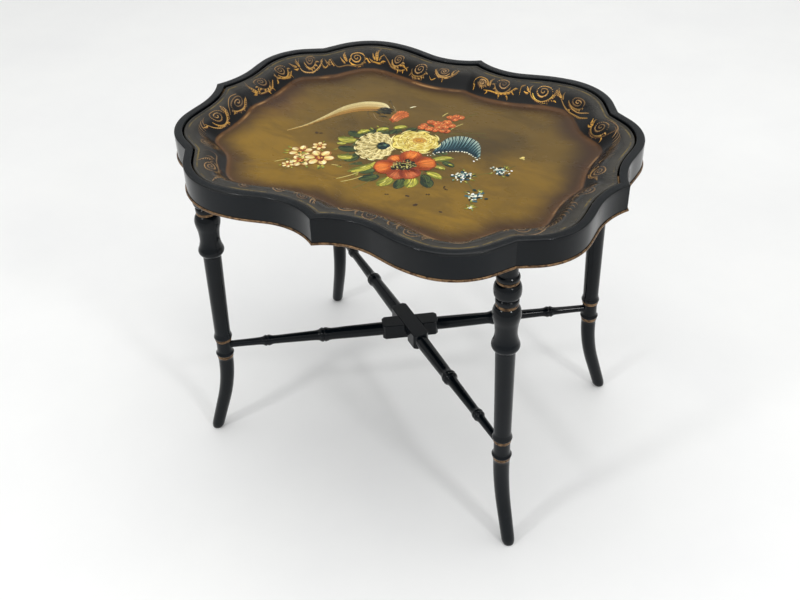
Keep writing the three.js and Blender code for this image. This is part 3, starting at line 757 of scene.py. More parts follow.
def borderDrop(inset):
    # depth below the rim: nearly flat, then an S curve down to the floor
    share = np.clip((inset - trayEdge - tray["rim"]) / tray["border"], 0, 1)
    flat = tray["rest"] - tray["sheet"]
    start = tray["start"] + (flat - tray["start"]) * np.clip(share / tray["flatShare"], 0, 1)
    u = np.clip((share - tray["flatShare"]) / (1 - tray["flatShare"]), 0, 1) ** 1.25
    return start + (tray["depth"] - flat) * u * u * (3 - 2 * u)


def dents(x, y):
    # slow waves left by the press and by use, in metres
    return tray["dent"] * (np.sin(17 * x + 5 * y + 0.6) * np.sin(23 * y - 4 * x + 1.1) + 0.5
                           * np.sin(41 * x - 9 * y) * np.sin(37 * y + 2))


def softness(inset):
    # how many passes round off the creases of the ring at an inset
    return np.round(1 + 10 * np.clip((inset - 0.026) / 0.036, 0, 1) ** 1.2).astype(int)


def sheetRow(inset, drop, scale=1.0):
    # the ring at an inset, at the rim's height less the drop, plus the dents
    ring = ringAt(inset, softness(inset)) * scale
    waves = dents(ring[:, 0], ring[:, 1]) * np.clip((inset - 0.03) / 0.03, 0, 1)
    return np.column_stack([ring, trayTop - drop + waves])


borderInsets = trayEdge + tray["rim"] + tray["border"] * np.linspace(0, 1, tray["borderSteps"])
borderTable = np.stack([sheetRow(inset, borderDrop(inset)) for inset in borderInsets])


def makeTray():
    # rings from the floor's underside out to the lip, round it, and back to the floor's face
    insets = borderInsets
    # from under the lip, round the outside, to the top
    turn = np.linspace(1.25 * math.pi, 0.25 * math.pi, 12)
    half = tray["rim"] / 2
    lip = [(trayEdge + half + half * math.cos(a), half - half * math.sin(a)) for a in turn]
    lip[0] = (trayEdge + 0.6 * half, tray["rest"])
    border = [(i, borderDrop(i)) for i in insets]
    under = [(i, max(borderDrop(i) + tray["sheet"], tray["rest"])) for i in insets][::-1]
    shrink = 1 - np.linspace(0, 1, tray["floorSteps"] + 1)[1:-1]
    rows, insetRow = [], []

    def addRow(inset, drop, scale, mark):
        # one ring, and the inset that the glaze reads on it
        rows.append(sheetRow(inset, drop, scale))
        insetRow.append(mark)

    for s in shrink[::-1]:
        addRow(floorInset, tray["depth"] + tray["sheet"], s, -0.02)
    for inset, drop in under:
        addRow(inset, drop, 1, -0.02)
    for inset, drop in lip:
        addRow(inset, drop, 1, inset)
    for inset, drop in border:
        addRow(inset, drop, 1, inset)
    for s in shrink:
        addRow(floorInset, tray["depth"], s, floorInset + (1 - s) * 0.2)
    grid = np.stack(rows)
    marks = np.broadcast_to(np.array(insetRow)[:, None], grid.shape[:2])
    addPiece("painted_tray", closedGrid(grid, {"inset": marks}), trayPaint, "tray", ["tray"],
             60)


makeTray()
print("tray made")


# brushwork: each stroke is a thin ribbon of paint on a curve that lies on the tray

brush = {
    # across, and 1 for the face that each later stroke carries a little higher; the last point lies under
    # the tray's skin
    "profile": ((-1, 1), (-0.5, 1), (0, 1), (0.5, 1), (1, 1), (0, 0)), "root": 0.08 * mm,
    "under": (0.02 * mm, 0.14 * mm), "over": (0.16 * mm, 0.40 * mm), "shortSteps": 8, "longSteps": 26,
         "spiralSteps": 46,
}
rng = np.random.default_rng(11)


def floorPoint(spot):
    # spot is x and y in mm
    x, y = spot[..., 0] * mm, spot[..., 1] * mm
    return np.stack([x, y, floorHeight + dents(x, y)], -1)


ringLoop = np.concatenate([borderTable, borderTable[:, :1]], 1)
middleRun = np.linalg.norm(np.diff(ringLoop[len(ringLoop) // 2], axis=0), axis=1)
roundRun = np.concatenate([[0], np.cumsum(middleRun)])
# the motifs' places are counted on a way round of this many mm, stretched to the real one
roundLength = 1786.7


def borderPoint(spot):
    # spot is the way round from the +X tip and the inset, in mm; both are blended from the sheet's own grid
    column = np.interp(spot[..., 0] / roundLength % 1 * roundRun[-1], roundRun, np.arange(len(roundRun)))
    level = (spot[..., 1] * mm - borderInsets[0]) / (borderInsets[1] - borderInsets[0])
    c, r = np.minimum(column.astype(int), len(roundRun) - 2), np.clip(level.astype(int), 0,
                                                                      len(borderInsets) - 2)
    u, v = (column - c)[..., None], (level - r)[..., None]
    return ((ringLoop[r, c] * (1 - u) + ringLoop[r, c + 1] * u) * (1 - v)
            + (ringLoop[r + 1, c] * (1 - u) + ringLoop[r + 1, c + 1] * u) * v)


def bezier(start, near, far, end, steps):
    # the cubic Bernstein sum of four points, for many strokes at once
    t = np.linspace(0, 1, steps)[None, :, None]
    a, b, c, d = (np.atleast_2d(np.asarray(p, float))[:, None, :] for p in (start, near, far, end))
    return a * (1 - t) ** 3 + 3 * b * t * (1 - t) ** 2 + 3 * c * t ** 2 * (1 - t) + d * t ** 3


def flick(x, y, angle, length, bend=0.0, steps=None):
    # short curves from x, y along an angle in degrees; bend is the sideways bow as a share of the length
    x, y, angle, length, bend = np.broadcast_arrays(*(np.atleast_1d(np.asarray(v, float))
                                                      for v in (x, y, angle, length, bend)))
    way = np.stack([np.cos(np.radians(angle)), np.sin(np.radians(angle))], -1)
    side = np.stack([-way[:, 1], way[:, 0]], -1)
    start = np.stack([x, y], -1)
    reach = way * length[:, None]
    bow = side * (bend * length)[:, None]
    return bezier(start, start + reach * 0.33 + bow, start + reach * 0.66 + bow, start + reach,
                  steps or brush["shortSteps"])


class Brushwork:
    # batches of strokes that become one mesh
    def __init__(self, onto, layer):
        # layer is the height of the first stroke's face and of the last one's
        self.onto, self.layer = onto, layer
        self.batches = []

    def add(self, curves, width, first, last=None, shape="leaf", vary=0.12):
        # strokes whose width is a taper along t and whose colour runs from first to last
        count, steps = curves.shape[:2]
        t = np.linspace(0, 1, steps)
        taper = {
            "leaf": np.sin(math.pi * (0.04 + 0.92 * t)) ** 0.65,
            "comma": np.minimum(1, (t + 0.03) / 0.2) ** 0.5 * (1.02 - t) ** 0.7,
            "line": np.minimum(1, np.minimum(t + 0.02, 1.02 - t) / 0.12) ** 0.5,
            "dab": np.sqrt(np.clip(1 - (2 * t - 1) ** 2, 0.02, 1)),
        }[shape]
        width = np.broadcast_to(np.atleast_1d(width)[:, None], (count, 1)) * taper / 2
        first = np.array(first if np.ndim(first) == 2 else [first] * count, float)[:, None, :]
        last = first if last is None else np.array(last if np.ndim(last) == 2 else [last] * count,
                                                   float)[:, None, :]
        tint = first * (1 - t[None, :, None]) + last * t[None, :, None]
        tint = tint * (1 + vary * rng.standard_normal((count, 1, 1)))
        self.batches.append((curves, width, np.clip(tint, 2, 250)))

    def dabs(self, x, y, radius, first, last=None, angle=None, stretch=1.2):
        # short strokes centred on x, y, as wide as twice the radius
        x, y = np.atleast_1d(np.asarray(x, float)), np.atleast_1d(np.asarray(y, float))
        angle = rng.uniform(0, 360, len(x)) if angle is None else np.broadcast_to(angle, x.shape)
        way = np.radians(angle)
        radius = np.broadcast_to(radius, x.shape)
        curves = flick(x - np.cos(way) * radius * stretch, y - np.sin(way) * radius * stretch, angle,
                       2 * radius * stretch)
        self.add(curves, 2 * radius, first, last, "dab")

    def build(self, name, slot, material):
        # the profile carried along each curve, raised along the surface's normal
        profile = np.array(brush["profile"])
        total = sum(len(batch[0]) for batch in self.batches)
        low, high = self.layer
        skins = []
        for order, (curves, width, tint) in enumerate(self.batches):
            count, steps = curves.shape[:2]
            lift = low + (high - low) * (order + 0.7 * np.arange(count) / count) / len(self.batches)
            along = np.gradient(curves, axis=1)
            along /= np.linalg.norm(along, axis=2, keepdims=True) + 1e-9
            side = np.stack([-along[..., 1], along[..., 0]], -1)
            spot = curves[:, :, None, :] + side[:, :, None, :] * width[:, :, None, None] * profile[:, :1]
            place = self.onto(spot)
            step = 0.4
            du = self.onto(spot + [step, 0]) - self.onto(spot - [step, 0])
            dv = self.onto(spot + [0, step]) - self.onto(spot - [0, step])
            normal = np.cross(du, dv)
            normal *= np.sign(normal[..., 2:]) / np.linalg.norm(normal, axis=-1, keepdims=True)
            height = (lift[:, None] + brush["root"]) * profile[:, 1] - brush["root"]
            height = np.broadcast_to(height, (steps, count, len(profile))).swapaxes(0, 1)
            points = (place + normal * height[..., None]).reshape(-1, 3)
            ring = len(profile)
            block = np.arange(count)[:, None] * steps * ring
            body = (block[:, :, None] + gridQuads(steps, ring)[None]).reshape(-1, 4)
            ends = np.array([[3, 2, 1, 0], [5, 4, 3, 0]])
            caps = np.concatenate([ends, ends[:, ::-1] + (steps - 1) * ring])
            caps = (block[:, :, None] + caps[None]).reshape(-1, 4)
            linear = toLinear(tint / 255)
            colour = np.concatenate([np.broadcast_to(linear[:, :, None, :], (*spot.shape[:3], 3)),
                                     np.ones((*spot.shape[:3], 1))], -1).reshape(-1, 4)
            skins.append((points, np.concatenate([body, caps]), np.zeros((0, 3), int), {"paint": colour}))
        piece = addPiece(name, joined(skins), material, "tray", sharpAngle=80)
        print(name, total, "strokes,", len(piece.data.polygons), "faces")


# where things are in the picture, in mm from the tray's middle; a leaf is root, tip and width
bouquet = {
    "cream": (226, 212, 156), "ivory": (246, 238, 204), "yellow": (230, 212, 112), "ochre": (178, 128, 40),
    "orange": (222, 116, 44), "peach": (236, 144, 66), "brick": (128, 46, 22), "rust": (184, 92, 50),
           "coral": (196, 104, 50),
    "teal": (18, 40, 42), "blue": (26, 66, 80), "mist": (140, 172, 158), "slate": (52, 92, 100),
           "white": (238, 238, 214),
    "lime": (190, 182, 74), "leaf": (98, 104, 34), "deep": (24, 42, 28), "moss": (74, 88, 44),
           "soot": (24, 24, 20),
    "limeGlint": (232, 228, 138), "straw": (206, 190, 112), "stem": (86, 92, 44), "speck": (54, 38, 20),
    "dust": (56, 40, 24), "plumePale": (236, 220, 156), "plumeGold": (196, 142, 62),
           "plumeLight": (242, 232, 190),
    "plumeTip": (216, 190, 118), "plumeUnder": (120, 84, 40), "plumeUnderTip": (160, 122, 62),
           "headDark": (46, 50, 38),
    "headOlive": (104, 98, 56), "crestBrown": (70, 58, 36), "crestGrey": (52, 52, 42),
           "crestStraw": (176, 164, 118),
    "crestTan": (158, 134, 90), "crestEnd": (120, 98, 62), "breastLight": (222, 134, 80),
           "roseGround": (150, 122, 44),
    "roseOuter": (168, 146, 58), "roseMiddle": (180, 152, 60), "roseInner": (190, 150, 56),
           "roseRow": (218, 200, 104),
    "roseLip": (240, 226, 150), "roseSwirl": (238, 222, 140), "roseGroove": (140, 84, 26),
           "roseGrooveEnd": (150, 90, 30),
    "roseFold": (160, 128, 46), "roseFoldEnd": (198, 166, 76), "creamGround": (112, 104, 58),
           "creamShade": (140, 124, 66),
    "creamBody": (216, 198, 134), "creamLip": (236, 224, 166), "eyeGlint": (70, 100, 84),
           "eyeRay": (120, 136, 96),
    "lowLip": (210, 120, 74), "anemoneRoot": (126, 48, 22), "anemoneEdge": (146, 62, 28),
           "anemoneVein": (110, 30, 14),
    "anemoneEye": (34, 30, 16), "anemoneDot": (170, 164, 96), "blueRoot": (64, 98, 100),
           "blueTip": (18, 48, 62),
    "hairRoot": (30, 62, 72), "hairTip": (12, 36, 48), "paleHairRoot": (176, 194, 178),
           "paleHairTip": (56, 104, 118),
    "archRoot": (204, 212, 188), "archTip": (104, 144, 144), "fringe": (12, 30, 42), "dot": (222, 222, 196),
    "blossomShade": (118, 44, 20), "blossomEdge": (172, 80, 38), "blossomLight": (224, 148, 88),
           "blossomEye": (236, 200, 120),
    "smallShade": (150, 96, 46), "smallShadeEnd": (136, 92, 44), "smallRoot": (196, 140, 76),
           "smallTip": (238, 222, 156),
    "smallEye": (142, 70, 38), "smallEyeDot": (224, 172, 78), "bud": (196, 178, 104),
    "limeLeaves": ((-72, -19, -105, -24, 15), (-52, -64, -78, -70, 14), (-12, -58, -42, -105, 13),
                   (24, -86, 15, -118, 17),
                   (50, -74, 57, -104, 17), (62, -54, 91, -62, 11), (52, -24, 82, -1, 11),
                   (64, -34, 84, -37, 9),
                   (-83, 0, -69, 18, 10), (-62, 22, -46, 34, 9), (-42, 38, -23, 51, 10),
                   (-82, -32, -98, -38, 8)),
    "deepLeaves": ((-58, -42, -90, -47, 15), (6, -92, -18, -113, 16), (38, -84, 43, -114, 15),
                   (64, -70, 85, -91, 16),
                   (-70, -4, -100, 1, 14), (-62, 8, -70, 26, 11), (-38, 20, -34, 36, 10),
                   (-20, 38, -8, 53, 10),
                   (-48, -56, -60, -80, 13), (70, -20, 92, -25, 10), (60, -62, 76, -80, 13),
                   (-4, 44, 10, 56, 10),
                   (-52, 26, -56, 38, 8), (-6, -80, -28, -96, 12)),
    "plumeTop": ((-184, -38), (-168, -11), (-156, 26), (-145, 64), (-127, 89), (-108, 99), (-91, 100),
                 (-79, 92)),
    "plumeFoot": ((-183, -40), (-163, -11), (-151, 16), (-136, 42), (-118, 63), (-102, 73), (-88, 79),
                  (-80, 87)),
    "blueTop": ((42, 14), (45, 42), (54, 56), (70, 62), (88, 57), (100, 44), (110, 22)),
    "blueFoot": ((46, -4), (55, 5), (66, 13), (76, 18), (87, 21), (98, 18), (109, 12)),
    "blossoms": ((29, 104, 6), (35, 113, 6), (27, 114, 5), (21, 106, 6), (34, 84, 6), (23, 90, 7),
                 (18, 82, 7), (9, 80, 7),
                 (34, 65, 6), (28, 65, 7), (19, 71, 8), (0, 80, 6), (17, 61, 6), (7, 60, 7), (-4, 66, 6),
                 (-5, 59, 6), (27, 76, 6)),
    "smallFlowers": ((-114, -58, 11), (-130, -84, 17), (-116, -106, 16), (-96, -87, 21), (-127, -123, 9)),
    "berries": ((113, -41, 17, 20), (155, -6, 15, 16), (150, -80, 15, 17), (157, -109, 3, 2)),
    "lines": ((-24, -96, -44, -126, 1), (-14, -103, -34, -130, 1), (2, -106, -11, -138, 0),
              (22, 40, 52, 138, 0), (38, 56, 92, 84, 0),
              (36, 52, 100, 74, 0), (38, 72, 47, 97, 1), (8, 104, 11, 118, 1), (-58, -78, -92, -84, 0),
              (-149, -125, -132, -109, 1),
              (120, -48, 148, -78, 0), (124, -36, 144, -16, 0), (84, -60, 104, -48, 0), (160, 2, 168, 18, 0),
              (-70, -96, -58, -94, 1)),
    "specks": ((-132, -24, 2), (-139, -26, 2.4), (40, -130, 2), (68, -121, 2.2), (88, -135, 2.6),
               (101, -79, 1.6), (108, -82, 1.6),
               (92, -104, 1.6), (126, -135, 1.6), (-58, -93, 1.4)),
}


def paintLeaf(work, root, tip, width, dark, light):
    # a dark body, a lit half, fine strokes that follow the vein, and a light line down it
    way = tip - root
    length, angle = np.hypot(*way), math.degrees(math.atan2(way[1], way[0]))
    side = np.array([-way[1], way[0]]) / length
    length, width = 0.92 * length, 1.2 * width
    work.add(flick(*root, angle, length, 0.1), width, dark, dark, vary=0.08)
    lit = root + side * width * 0.12 + way * 0.1
    work.add(flick(*lit, angle + 3, length * 0.82, 0.12), width * 0.5, (np.array(dark) + light) / 2, light,
             vary=0.08)
    across = np.linspace(-0.4, 0.42, 7)
    start = root + side * (across * width * 0.55)[:, None] + way * 0.1
    work.add(flick(start[:, 0], start[:, 1], angle + across * 30, length * 0.8, 0.1 - across * 0.34),
             width * 0.11, light, dark,
             "comma", 0.2)
    work.add(flick(*root, angle, length * 1.02, 0.1), 0.9, light, light, "line")


def paintLeaves():
    # a dark bed of short strokes round an oval, then the leaves, grass lines and specks
    work, c = Brushwork(floorPoint, brush["under"]), bouquet
    around = rng.uniform(0, 2 * math.pi, 90)
    reach = rng.uniform(0.72, 1.0, 90)
    x, y = -6 + 74 * reach * np.cos(around), -24 + 64 * reach * np.sin(around)
    tone = np.where((rng.random(90) < 0.45)[:, None], c["moss"], c["deep"])
    work.add(flick(x, y, np.degrees(around) + rng.uniform(-60, 60, 90), rng.uniform(8, 17, 90),
                   rng.uniform(-0.2, 0.2, 90)),
             rng.uniform(2.5, 7, 90), tone, c["moss"])
    for x, y, tipX, tipY, width in c["deepLeaves"]:
        paintLeaf(work, np.array([x, y]), np.array([tipX, tipY]), width, c["deep"], np.array(c["moss"]))
    for x, y, tipX, tipY, width in c["limeLeaves"]:
        paintLeaf(work, np.array([x, y]), np.array([tipX, tipY]), width, c["leaf"], np.array(c["lime"]))
        work.add(flick(0.6 * x + 0.4 * tipX, 0.6 * y + 0.4 * tipY,
                       math.degrees(math.atan2(tipY - y, tipX - x)), width * 0.7, 0.2),
                 2.2, c["limeGlint"], c["lime"])
    x, y = rng.uniform(-90, 82, 40), rng.uniform(-104, 40, 40)
    edge = ((x + 6) / 84) ** 2 + ((y + 28) / 74) ** 2
    x, y = x[(edge > 0.72) & (edge < 1.15)], y[(edge > 0.72) & (edge < 1.15)]
    work.add(flick(x, y, np.degrees(np.arctan2(y + 28, x + 6)) + rng.uniform(-40, 40, len(x)),
                   rng.uniform(5, 10, len(x)), 0.12),
             2.6, c["lime"], c["leaf"])
    for x, y, tipX, tipY, isPale in c["lines"]:
        angle, length = math.degrees(math.atan2(tipY - y, tipX - x)), math.hypot(tipX - x, tipY - y)
        tone = c["straw"] if isPale else c["stem"]
        work.add(flick(x, y, angle, length, 0.06, brush["longSteps"]), 1.7 if isPale else 1.0, tone, tone,
                 "line")
    for x, y, size in c["specks"]:
        work.dabs(x + rng.normal(0, 1.2, 3), y + rng.normal(0, 1.2, 3), size * rng.uniform(0.5, 1, 3),
                  c["speck"])
    work.dabs(rng.uniform(-190, 190, 26), rng.uniform(-130, 120, 26), rng.uniform(0.4, 0.9, 26), c["dust"])
    work.build("painted_leaves", "painted_tray", brushPaint)


def paintPlume(work):
    # strokes between a top edge and a foot edge that both run from the tail to the head
    c = bouquet
    top, foot = smoothRun(c["plumeTop"], 4), smoothRun(c["plumeFoot"], 4)
    across = np.linspace(0, 1, 15)[:, None, None]
    lines = (top * (1 - across) + foot * across)[:, ::-1]
    share = across[:, :, 0]
    pale = np.array(c["plumePale"]) * (1 - share) + np.array(c["plumeGold"]) * share
    work.add(lines, 4.2, pale, pale * 0.82, "comma", 0.03)
    work.add(lines[1:8:2] + [0.5, 0.9], 1.3, c["plumeLight"], c["plumeTip"], "comma", 0.05)
    work.add(lines[12:, :-6], 1.8, c["plumeUnder"], c["plumeUnderTip"], "comma", 0.06)
    x = rng.uniform(-97, -78, 26)
    work.add(flick(x, 77 + rng.normal(0, 5, 26), rng.uniform(-30, 30, 26), rng.uniform(9, 16, 26), 0.1), 3.6,
             c["headDark"], c["soot"])
    x = rng.uniform(-104, -84, 14)
    work.add(flick(x, 73 + (x + 96) * 0.5, rng.uniform(-20, 25, 14), 13, 0.1), 1.6, c["headOlive"], c["soot"],
             "comma")
    work.add(flick([-104, -92, -77, -92], [70, 117, 101, 66], [-44, -50, -50, -28], [26, 43, 26, 38],
                   [-0.2, 0.02, 0.04, -0.2],
                   brush["longSteps"]), [1.2, 1.1, 1.0, 1.1],
             [c["crestBrown"], c["crestGrey"], c["crestStraw"], c["crestTan"]], c["crestEnd"], "line")
    spread = np.linspace(-1, 1, 11)
    work.add(flick(-56 + 5 * spread, 56 - 3 * spread, 78 - 14 * spread, 38 - 9 * spread ** 2, 0.2 * spread),
             5.6, c["rust"], c["coral"])
    work.add(flick(-53 + 6 * spread, 60 - 3 * spread, 76 - 12 * spread, 26, 0.16), 1.5, c["breastLight"],
             c["coral"], "comma")
    work.add(flick([-50, -47], [106, 110], 52, [11, 6], 0.1), [2.4, 2], c["cream"], c["ivory"])


def petalRing(work, middle, hub, axes, tilt, share, count, size, tones):
    # rounded petals whose tips stand on an oval, each a shaded base, a pale body and a bright lip
    around = np.linspace(0, 2 * math.pi, count, endpoint=False) + rng.uniform(0, 6)
    turn = math.radians(tilt)
    u, v = axes[0] * np.cos(around), axes[1] * np.sin(around)
    edgeX = middle[0] + u * math.cos(turn) - v * math.sin(turn)
    edgeY = middle[1] + u * math.sin(turn) + v * math.cos(turn)
    tipX, tipY = hub[0] + (edgeX - hub[0]) * share, hub[1] + (edgeY - hub[1]) * share
    angle = np.degrees(np.arctan2(tipY - hub[1], tipX - hub[0]))
    length, width = size
    startX, startY = tipX - length * np.cos(np.radians(angle)), tipY - length * np.sin(np.radians(angle))
    shade, body, lip = tones
    bend = rng.uniform(-0.08, 0.08, count)
    work.add(flick(startX, startY, angle, length + 1.0, bend), width + 1.2, shade, shade, "dab", 0.08)
    work.add(flick(startX, startY, angle, length, bend), width, (np.array(shade) + body) / 2, body, "dab",
             0.04)
    work.add(flick(startX, startY, angle - 4, length * 0.9, bend - 0.16), width * 0.2, shade, shade, "leaf",
             0.06)
    work.add(flick(startX, startY, angle + 3, length * 0.96, bend + 0.14), width * 0.36, body, lip, "comma",
             0.04)
    side = np.radians(angle + 90)
    work.add(flick(tipX - np.cos(side) * width * 0.38, tipY - np.sin(side) * width * 0.38, angle + 90,
                   width * 0.76, -0.14), 2.2,
             lip, lip, "leaf", 0.04)


def paintRose(work):
    # four ovals of petals, each smaller, round a spiral whose reach falls with its angle
    c = bouquet
    middle, hub = (8, 14), (11, 21)
    work.dabs([8, -8, 24, 10, 6], [14, 12, 18, 0, 28], [27, 18, 17, 16, 16], c["roseGround"], stretch=1.05)
    shades = (c["roseOuter"], c["roseMiddle"], c["roseInner"])
    for row, (share, count, length, width) in enumerate(((1.0, 8, 24, 25), (0.78, 7, 20, 20),
                                                         (0.56, 6, 15, 16), (0.38, 5, 10, 11))):
        petalRing(work, middle, hub, (35, 33), 20, share, count, (length, width),
                  (shades[min(row, 2)], c["yellow"] if row != 1 else c["roseRow"], c["roseLip"]))
    swirl = np.linspace(0, 2 * math.pi * 2.2, 60)
    reach = 12 - 10.5 * swirl / swirl[-1]
    spiral = np.stack([hub[0] + reach * np.cos(swirl), hub[1] + 0.85 * reach * np.sin(swirl)], -1)[None]
    work.dabs([11, 12], [21, 19], [9, 6], c["ochre"], stretch=1.1)
    work.add(spiral, 2.2, c["roseSwirl"], c["ochre"], "line")
    work.add(spiral + [0.8, -1.4], 0.9, c["roseGroove"], c["roseGrooveEnd"], "line")
    for turn in range(0, 360, 24):
        angle = turn + rng.uniform(-8, 8)
        reach = rng.uniform(14, 29)
        work.add(flick(hub[0] + reach * math.cos(math.radians(angle)),
                       hub[1] - 3 + reach * math.sin(math.radians(angle)),
                       angle + 108, rng.uniform(12, 20), -0.22), 1.5, c["roseFold"], c["roseFoldEnd"],
                 "comma")


def paintCreamFlower(work):
    # three ovals of petals round a dark eye
    c = bouquet
    middle, hub = (-41, -22), (-30, -16)
    work.dabs([-41, -48, -36, -44, -34], [-22, -6, -40, -30, -8], [24, 18, 18, 20, 18], c["creamGround"],
              stretch=1.1)
    for share, count, length, width in ((1.02, 14, 19, 15), (0.8, 12, 17, 13), (0.58, 9, 13, 11)):
        petalRing(work, middle, hub, (27, 38), 24, share, count, (length, width),
                  (c["creamShade"], c["creamBody"], c["creamLip"]))
    work.dabs([-30, -33, -27, -29, -25], [-16, -12, -20, -22, -13], [8.5, 6, 6, 5, 5], c["teal"], stretch=1.1)
    work.dabs([-28, -34], [-13, -18], [2.4, 2.0], c["eyeGlint"])
    work.add(flick(-30 + rng.normal(0, 3, 8), -16 + rng.normal(0, 4, 8), rng.uniform(0, 360, 8), 5, 0.2), 0.8,
             c["eyeRay"], c["teal"])


def paintAnemone(work):
    # six fans of strokes from a dark dotted middle, shorter and darker at each fan's sides
    c = bouquet
    middle = (24, -52)
    petals = ((150, 31, 22, 0), (276, 37, 23, 1), (320, 37, 24, 1), (214, 42, 27, 0), (36, 46, 25, 0),
              (96, 42, 22, 0))
    for angle, reach, half, isLow in petals:
        fan = np.linspace(-1, 1, 13)
        way = np.radians(angle + half * fan)
        x, y = middle[0] + 9 * np.cos(way), middle[1] + 9 * np.sin(way)
        length = (reach - 9) * (1 - 0.22 * fan ** 2) * rng.uniform(0.97, 1.03, 13)
        body, lip = (c["rust"], c["lowLip"]) if isLow else (c["orange"], c["peach"])
        work.add(flick(x, y, angle + half * fan * 1.12, length + 2, 0.08 * fan), 7.6, c["anemoneRoot"],
                 c["anemoneEdge"], "leaf", 0.05)
        edge = np.abs(fan)[:, None] ** 2
        tone = np.array(body) * (1 - 0.34 * edge) - edge * [0, 14, 6]
        work.add(flick(x, y, angle + half * fan, length, 0.08 * fan), 6.2, tone * [0.88, 0.74, 0.64], tone,
                 "leaf", 0.04)
        tips = np.radians(angle + half * fan[3:-3])
        work.add(flick(x[3:-3] + 0.4 * length[3:-3] * np.cos(tips),
                       y[3:-3] + 0.4 * length[3:-3] * np.sin(tips),
                       angle + half * fan[3:-3], length[3:-3] * rng.uniform(0.4, 0.56, 7), 0.1 * fan[3:-3]),
                 1.9, body, lip, "leaf", 0.06)
        work.add(flick(x[::3], y[::3], angle + half * fan[::3], length[::3] * 0.6, 0.05), 1.1,
                 c["anemoneVein"], c["brick"], "comma")
    spot = rng.normal(0, 1, (44, 2)) * [7.6, 5.4]
    x, y = middle[0] + 0.87 * spot[:, 0] - 0.5 * spot[:, 1], middle[1] + 0.5 * spot[:, 0] + 0.87 * spot[:, 1]
    work.dabs(x, y, 4, c["anemoneEye"])
    around = rng.uniform(0, 2 * math.pi, 90)
    reach = rng.uniform(0.25, 1.05, 90)
    u, v = 17.5 * reach * np.cos(around), 12.5 * reach * np.sin(around)
    work.dabs(middle[0] + 0.87 * u - 0.5 * v, middle[1] + 0.5 * u + 0.87 * v, rng.uniform(0.6, 1.15, 90),
              c["anemoneDot"])


def paintBlueFlower(work):
    # hairs hang from a pale arched top edge down to a scalloped edge of white dots
    c = bouquet
    top, foot = smoothRun(c["blueTop"], 8), smoothRun(c["blueFoot"], 8)
    angle = np.degrees(np.arctan2(foot[:, 1] - top[:, 1], foot[:, 0] - top[:, 0]))
    length = np.hypot(*(foot - top).T) + 1
    share = np.linspace(0, 1, len(top))
    bow = 0.2 - 0.34 * share
    work.add(flick(top[:, 0], top[:, 1], angle, length, bow), 4.8, c["blueRoot"], c["blueTip"], "line", 0.06)
    for first, width, root, tip, reach in ((1, 2.4, c["hairRoot"], c["hairTip"], 1.0),
                                           (0, 1.9, c["paleHairRoot"], c["paleHairTip"], 0.8),
                                           (2, 1.5, c["archRoot"], c["archTip"], 0.45)):
        pick = slice(first, None, 3)
        work.add(flick(top[pick, 0], top[pick, 1] + 0.6, angle[pick],
                       length[pick] * reach * rng.uniform(0.85, 1.05, len(top[pick])), bow[pick]),
                 width, root, tip, "comma", 0.08)
    work.add(flick(foot[:22, 0], foot[:22, 1] + 1, angle[:22] + 180, 8, 0.1), 2.2, c["fringe"], c["blue"],
             "comma")
    dots = foot[1::3] + rng.normal(0, 0.4, foot[1::3].shape)
    work.dabs(dots[:, 0], dots[:, 1] - 0.6, 1.25, c["dot"])
    work.dabs([111, 109, 113, 50, 42, 46], [9, 3, 14, -6, -12, -10], [1.5, 1.3, 1.2, 1.1, 0.9, 1], c["white"])


